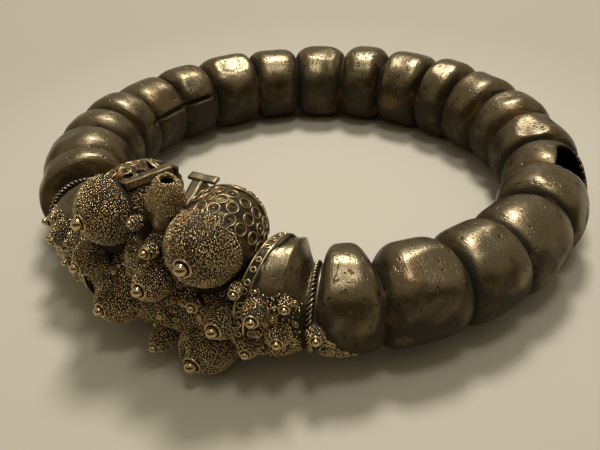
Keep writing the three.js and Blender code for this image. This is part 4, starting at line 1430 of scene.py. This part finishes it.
def band_wire(end, inset, radius):
    """A round wire soldered along the slanted band."""
    around = np.linspace(0, 360, BAND_WIRE_STEPS, endpoint=False)[:, None]
    side = np.linspace(0, 2 * np.pi, BAND_WIRE_SIDES, endpoint=False)[None, :]
    far = band_reach(end, around) + radius * np.cos(side)
    grid = band_line(end, inset + radius * np.sin(side), around, far)
    quads = torus_quads(BAND_WIRE_STEPS, BAND_WIRE_SIDES)
    return patch(grid, quads if end > 0 else quads[:, ::-1], wear=0.9, dirt=0.1)


for side, end in (("right", RIGHT_END), ("left", LEFT_END)):
    patches = [ragged_band(end), *(band_wire(end, *wire) for wire in BAND_WIRES)]
    for around in np.arange(BAND_RINGS) * 360 / BAND_RINGS + rng.uniform(-2, 2, BAND_RINGS):
        place = band_line(end, BAND_RING_INSET, around, band_reach(end, around))
        basis = basis_on(tube_normal(end, around), directions(end)[1])
        patches.append(wire_ring(place, *BAND_RING, basis, segments=14, sides=6, wear=0.8, dirt=0.2))
    make_piece(f"{side}_ragged_band", patches, GRAINED_SILVER, [f"end_band_{side}"])

# %% [markdown]
# ## Crusts on the collars
# The outer side of each collar is crusted with granules, grit and small knobs, up to an uneven line
# where the bare tube begins. They follow the hoop's own skin: each one takes its reach from the grid.

# %% Crusts
CRUST_PITCH = 0.33
# First and last place along, lowest angle, the upper line's angle at both places, and number of knobs
CRUSTS = {
    "right": [(RIGHT_END + 1.6, RIGHT_COLLAR - 0.9, -88, (47, 39), 26),
              (RIGHT_COLLAR + 1.2, RIGHT_COLLAR + 5, -88, (10, -38), 5)],
    "left": [(WHOLE_TURN + LEFT_COLLAR + 1.4, WHOLE_TURN + LEFT_END - 1.8, -80, (30, 52), 46)],
}


def on_skin(along, around, proud=0.0):
    """Point on the hoop's skin at a station and an angle, read from the nearest point of its grid."""
    row = np.searchsorted(hoop_along, along).clip(0, len(hoop_along) - 1)
    column = np.searchsorted(hoop_around, around).clip(0, len(hoop_around) - 1)
    return on_leaning(along, around, reach[row, column] + proud, hoop_slant[row])


def crust(first, last, low, line, knobs, rng):
    """Granules on a grid with play, kept below a line that falls from one height to another."""
    along, around = np.meshgrid(np.arange(first, last, CRUST_PITCH),
                                np.arange(low, max(line) + 8, np.degrees(CRUST_PITCH / TUBE_RADIUS)))
    along = along.ravel() + rng.normal(0, 0.1, along.size)
    around = around.ravel() + rng.normal(0, 0.8, around.size)
    limit = np.interp(along, [first, last], line) + 3 * np.sin(along * 1.7)
    below = around < limit
    along, around = along[below], around[below]
    places = on_skin(along, around, 0.02)
    normals = tube_normal(along, around[:, None])
    free = shown(places, ("hoop_right", "hoop_left", "core"))
    size = GRANULE_RADIUS * rng.uniform(0.8, 1.6, len(places))
    patches = [granules(places[free], normals[free], size[free], rng, dull=0.2)]
    chosen = rng.choice(np.flatnonzero(free), knobs, replace=False)
    return patches + scattered_knobs(places[chosen], normals[chosen], rng)


for side, stretches in CRUSTS.items():
    patches = []
    for stretch in stretches:
        patches += crust(*stretch, rng)
    make_piece(f"{side}_collar_crust", patches, GRAINED_SILVER)

# %% [markdown]
# ## Border strips
# Two narrow strips of sheet have sprung loose beside the cone. Each is folded along its length to a
# ridge, with one side flat to the light and the other turned down. Flat tabs end them.

# %% Border strips
BAR_STEPS, BAR_COLUMNS = 14, 6
STRIP_SHEET, TAB_SHEET = 0.34, 0.4


def bar(start, end, width, thickness, sideways, tilt=0.0, **masks):
    """A flat bar from start to end, turned by tilt degrees about its length, closed all round."""
    start, end = np.asarray(start), np.asarray(end)
    axis = (end - start) / np.linalg.norm(end - start)
    across = sideways - axis * (sideways @ axis)
    across /= np.linalg.norm(across)
    third = np.cross(across, axis)
    cos, sin = np.cos(np.radians(tilt)), np.sin(np.radians(tilt))
    across, third = cos * across + sin * third, cos * third - sin * across
    share = np.linspace(0, 1, BAR_STEPS)[:, None]
    middle = start + (end - start) * share
    middle = middle + 0.05 * third * waviness(middle, 2.6, 81)[:, None]
    offsets = across * (np.linspace(-0.5, 0.5, BAR_COLUMNS) * width)[None, :, None]
    outer = middle[:, None] + offsets + third * thickness / 2
    inner = middle[:, None] + offsets - third * thickness / 2
    return thick_sheet(outer[:, ::-1], inner[:, ::-1], **masks)


def folded_bar(start, end, widths, tilts, thickness, sideways, **masks):
    """Two bars that meet along a ridge from start to end, each falling away to its own side."""
    down = np.array([0, 0, -1.0])
    parts = []
    for side, width, tilt in zip((-1, 1), widths, tilts):
        fall = side * np.cos(np.radians(tilt)) * sideways + np.sin(np.radians(tilt)) * down
        outside = side * np.sin(np.radians(tilt)) * sideways - np.cos(np.radians(tilt)) * down
        shift = fall * width / 2 - outside * thickness / 2
        parts.append(bar(start + shift, end + shift, width, thickness, sideways, side * tilt, **masks))
    return parts


upright = np.array([0, 0, 1.0])
right_start = on_hoop(0.2, -5.3, TUBE_RADIUS + 7.1)
right_stop = on_hoop(1.4, 1.5, TUBE_RADIUS + 5.9)
outward, forward = directions(0.2)
patches = folded_bar(right_start, right_stop, (1.5, 1.6), (4, 66), STRIP_SHEET, forward, wear=0.3, dirt=0.3)
patches += [bar(right_start - forward * 2.2, right_start + forward * 2.1, 1.3, TAB_SHEET, outward, -8,
                wear=0.3, dirt=0.3),
            bar(right_stop - forward * 1.5, right_stop + forward * 0.3, 0.7, TAB_SHEET, outward,
                wear=0.9, dirt=0)]
make_piece("right_border_strip", patches, STRIP_SILVER, ["border_strip_right"])
left_start = on_hoop(-5.2, -5, TUBE_RADIUS + 7.9)
left_stop = on_hoop(-6.7, 2.7, TUBE_RADIUS + 8.2)
outward, forward = directions(-5.6)
patches = folded_bar(left_start, left_stop, (1.7, 1.1), (8, 72), STRIP_SHEET, forward,
                     wear=0.25, dirt=0.35, stain=0.4)
patches.append(bar(left_start + forward * 0.1, left_start + forward * 0.2 - upright * 2.1, 0.9, TAB_SHEET,
                   forward, wear=0.2, dirt=0.5))
make_piece("left_border_strip", patches, STRIP_SILVER, ["border_strip_left"])

# %% [markdown]
# ## Floor and light
# The bracelet lies on a pale surface with a painted pool of light, brighter in the middle, under soft
# light from above and a little behind, with a weaker light from the front that puts the small bright
# points on the granules.

# %% Floor
# Colours of the painted pool of light on the floor, and the distances in metres over which it fades.
FLOOR_MIDDLE, FLOOR_EDGE = (0.635, 0.60, 0.52), (0.475, 0.45, 0.385)
FLOOR_FADE = (0.02, 0.11)


def floor_material():
    """A pale surface with a painted pool of light: lighter in the middle, duller away from it."""
    material = bpy.data.materials.new("pale_floor")
    material.use_nodes = True
    tree = material.node_tree
    shader = tree.nodes["Principled BSDF"]
    distance = add_node(tree, "ShaderNodeVectorMath", operation="LENGTH")
    connect(tree, add_node(tree, "ShaderNodeTexCoord").outputs["Object"], distance.inputs[0])
    dulled = ramped(tree, distance.outputs["Value"], *FLOOR_FADE)
    connect(tree, mixed(tree, dulled, FLOOR_MIDDLE, FLOOR_EDGE), shader.inputs["Base Color"])
    shader.inputs["Roughness"].default_value = 0.7
    shader.inputs["Specular IOR Level"].default_value = 0.2
    return material


floor_mesh = bpy.data.meshes.new("floor")
floor_mesh.from_pydata([(-2, -2, 0), (2, -2, 0), (2, 2, 0), (-2, 2, 0)], [], [(0, 1, 2, 3)])
floor_mesh.materials.append(floor_material())
floor = bpy.data.objects.new("floor", floor_mesh)
bpy.context.scene.collection.objects.link(floor)

# %% Lights


def soft_light(name, place, target, size, power, colour):
    """A square area light that looks from its place to a target, both in metres."""
    data = bpy.data.lights.new(name, "AREA")
    data.shape = "RECTANGLE"
    data.size, data.size_y = size
    data.energy = power
    data.color = colour
    light = bpy.data.objects.new(name, data)
    light.location = place
    light.rotation_euler = (Vector(target) - Vector(place)).to_track_quat("-Z", "Y").to_euler()
    bpy.context.scene.collection.objects.link(light)
    return light


soft_light("behind_above", (-0.09, 0.25, 0.56), (0, 0, 0), (0.14, 0.14), 2.5, (1.0, 0.94, 0.86))
soft_light("overhead", (0.09, -0.06, 0.60), (0, 0, 0), (0.12, 0.12), 0.55, (1.0, 0.97, 0.84))

# %% Room around the bracelet
ROOM_BRIGHT = (0.34, 0.30, 0.215)
ROOM_DARK = (0.058, 0.044, 0.019)
DARK_SIDE_RISE = np.radians(42)
EDGE_SOFTNESS = 0.06


def room_world():
    """A pale room, dark on the viewer's side up to a slanted edge."""
    world = bpy.data.worlds.new("dim_room")
    world.use_nodes = True
    tree = world.node_tree
    direction = add_node(tree, "ShaderNodeTexCoord").outputs["Generated"]
    edge = add_node(tree, "ShaderNodeVectorMath", operation="DOT_PRODUCT")
    connect(tree, direction, edge.inputs[0])
    level = np.array([np.sin(VIEW_TURN), -np.cos(VIEW_TURN), 0])
    edge.inputs[1].default_value = (*(-np.sin(DARK_SIDE_RISE) * level[:2]), np.cos(DARK_SIDE_RISE))
    light = ramped(tree, edge.outputs["Value"], -EDGE_SOFTNESS, EDGE_SOFTNESS)
    connect(tree, mixed(tree, light, ROOM_DARK, ROOM_BRIGHT), tree.nodes["Background"].inputs["Color"])
    return world


bpy.context.scene.world = room_world()
bpy.context.scene.view_settings.view_transform = "Standard"
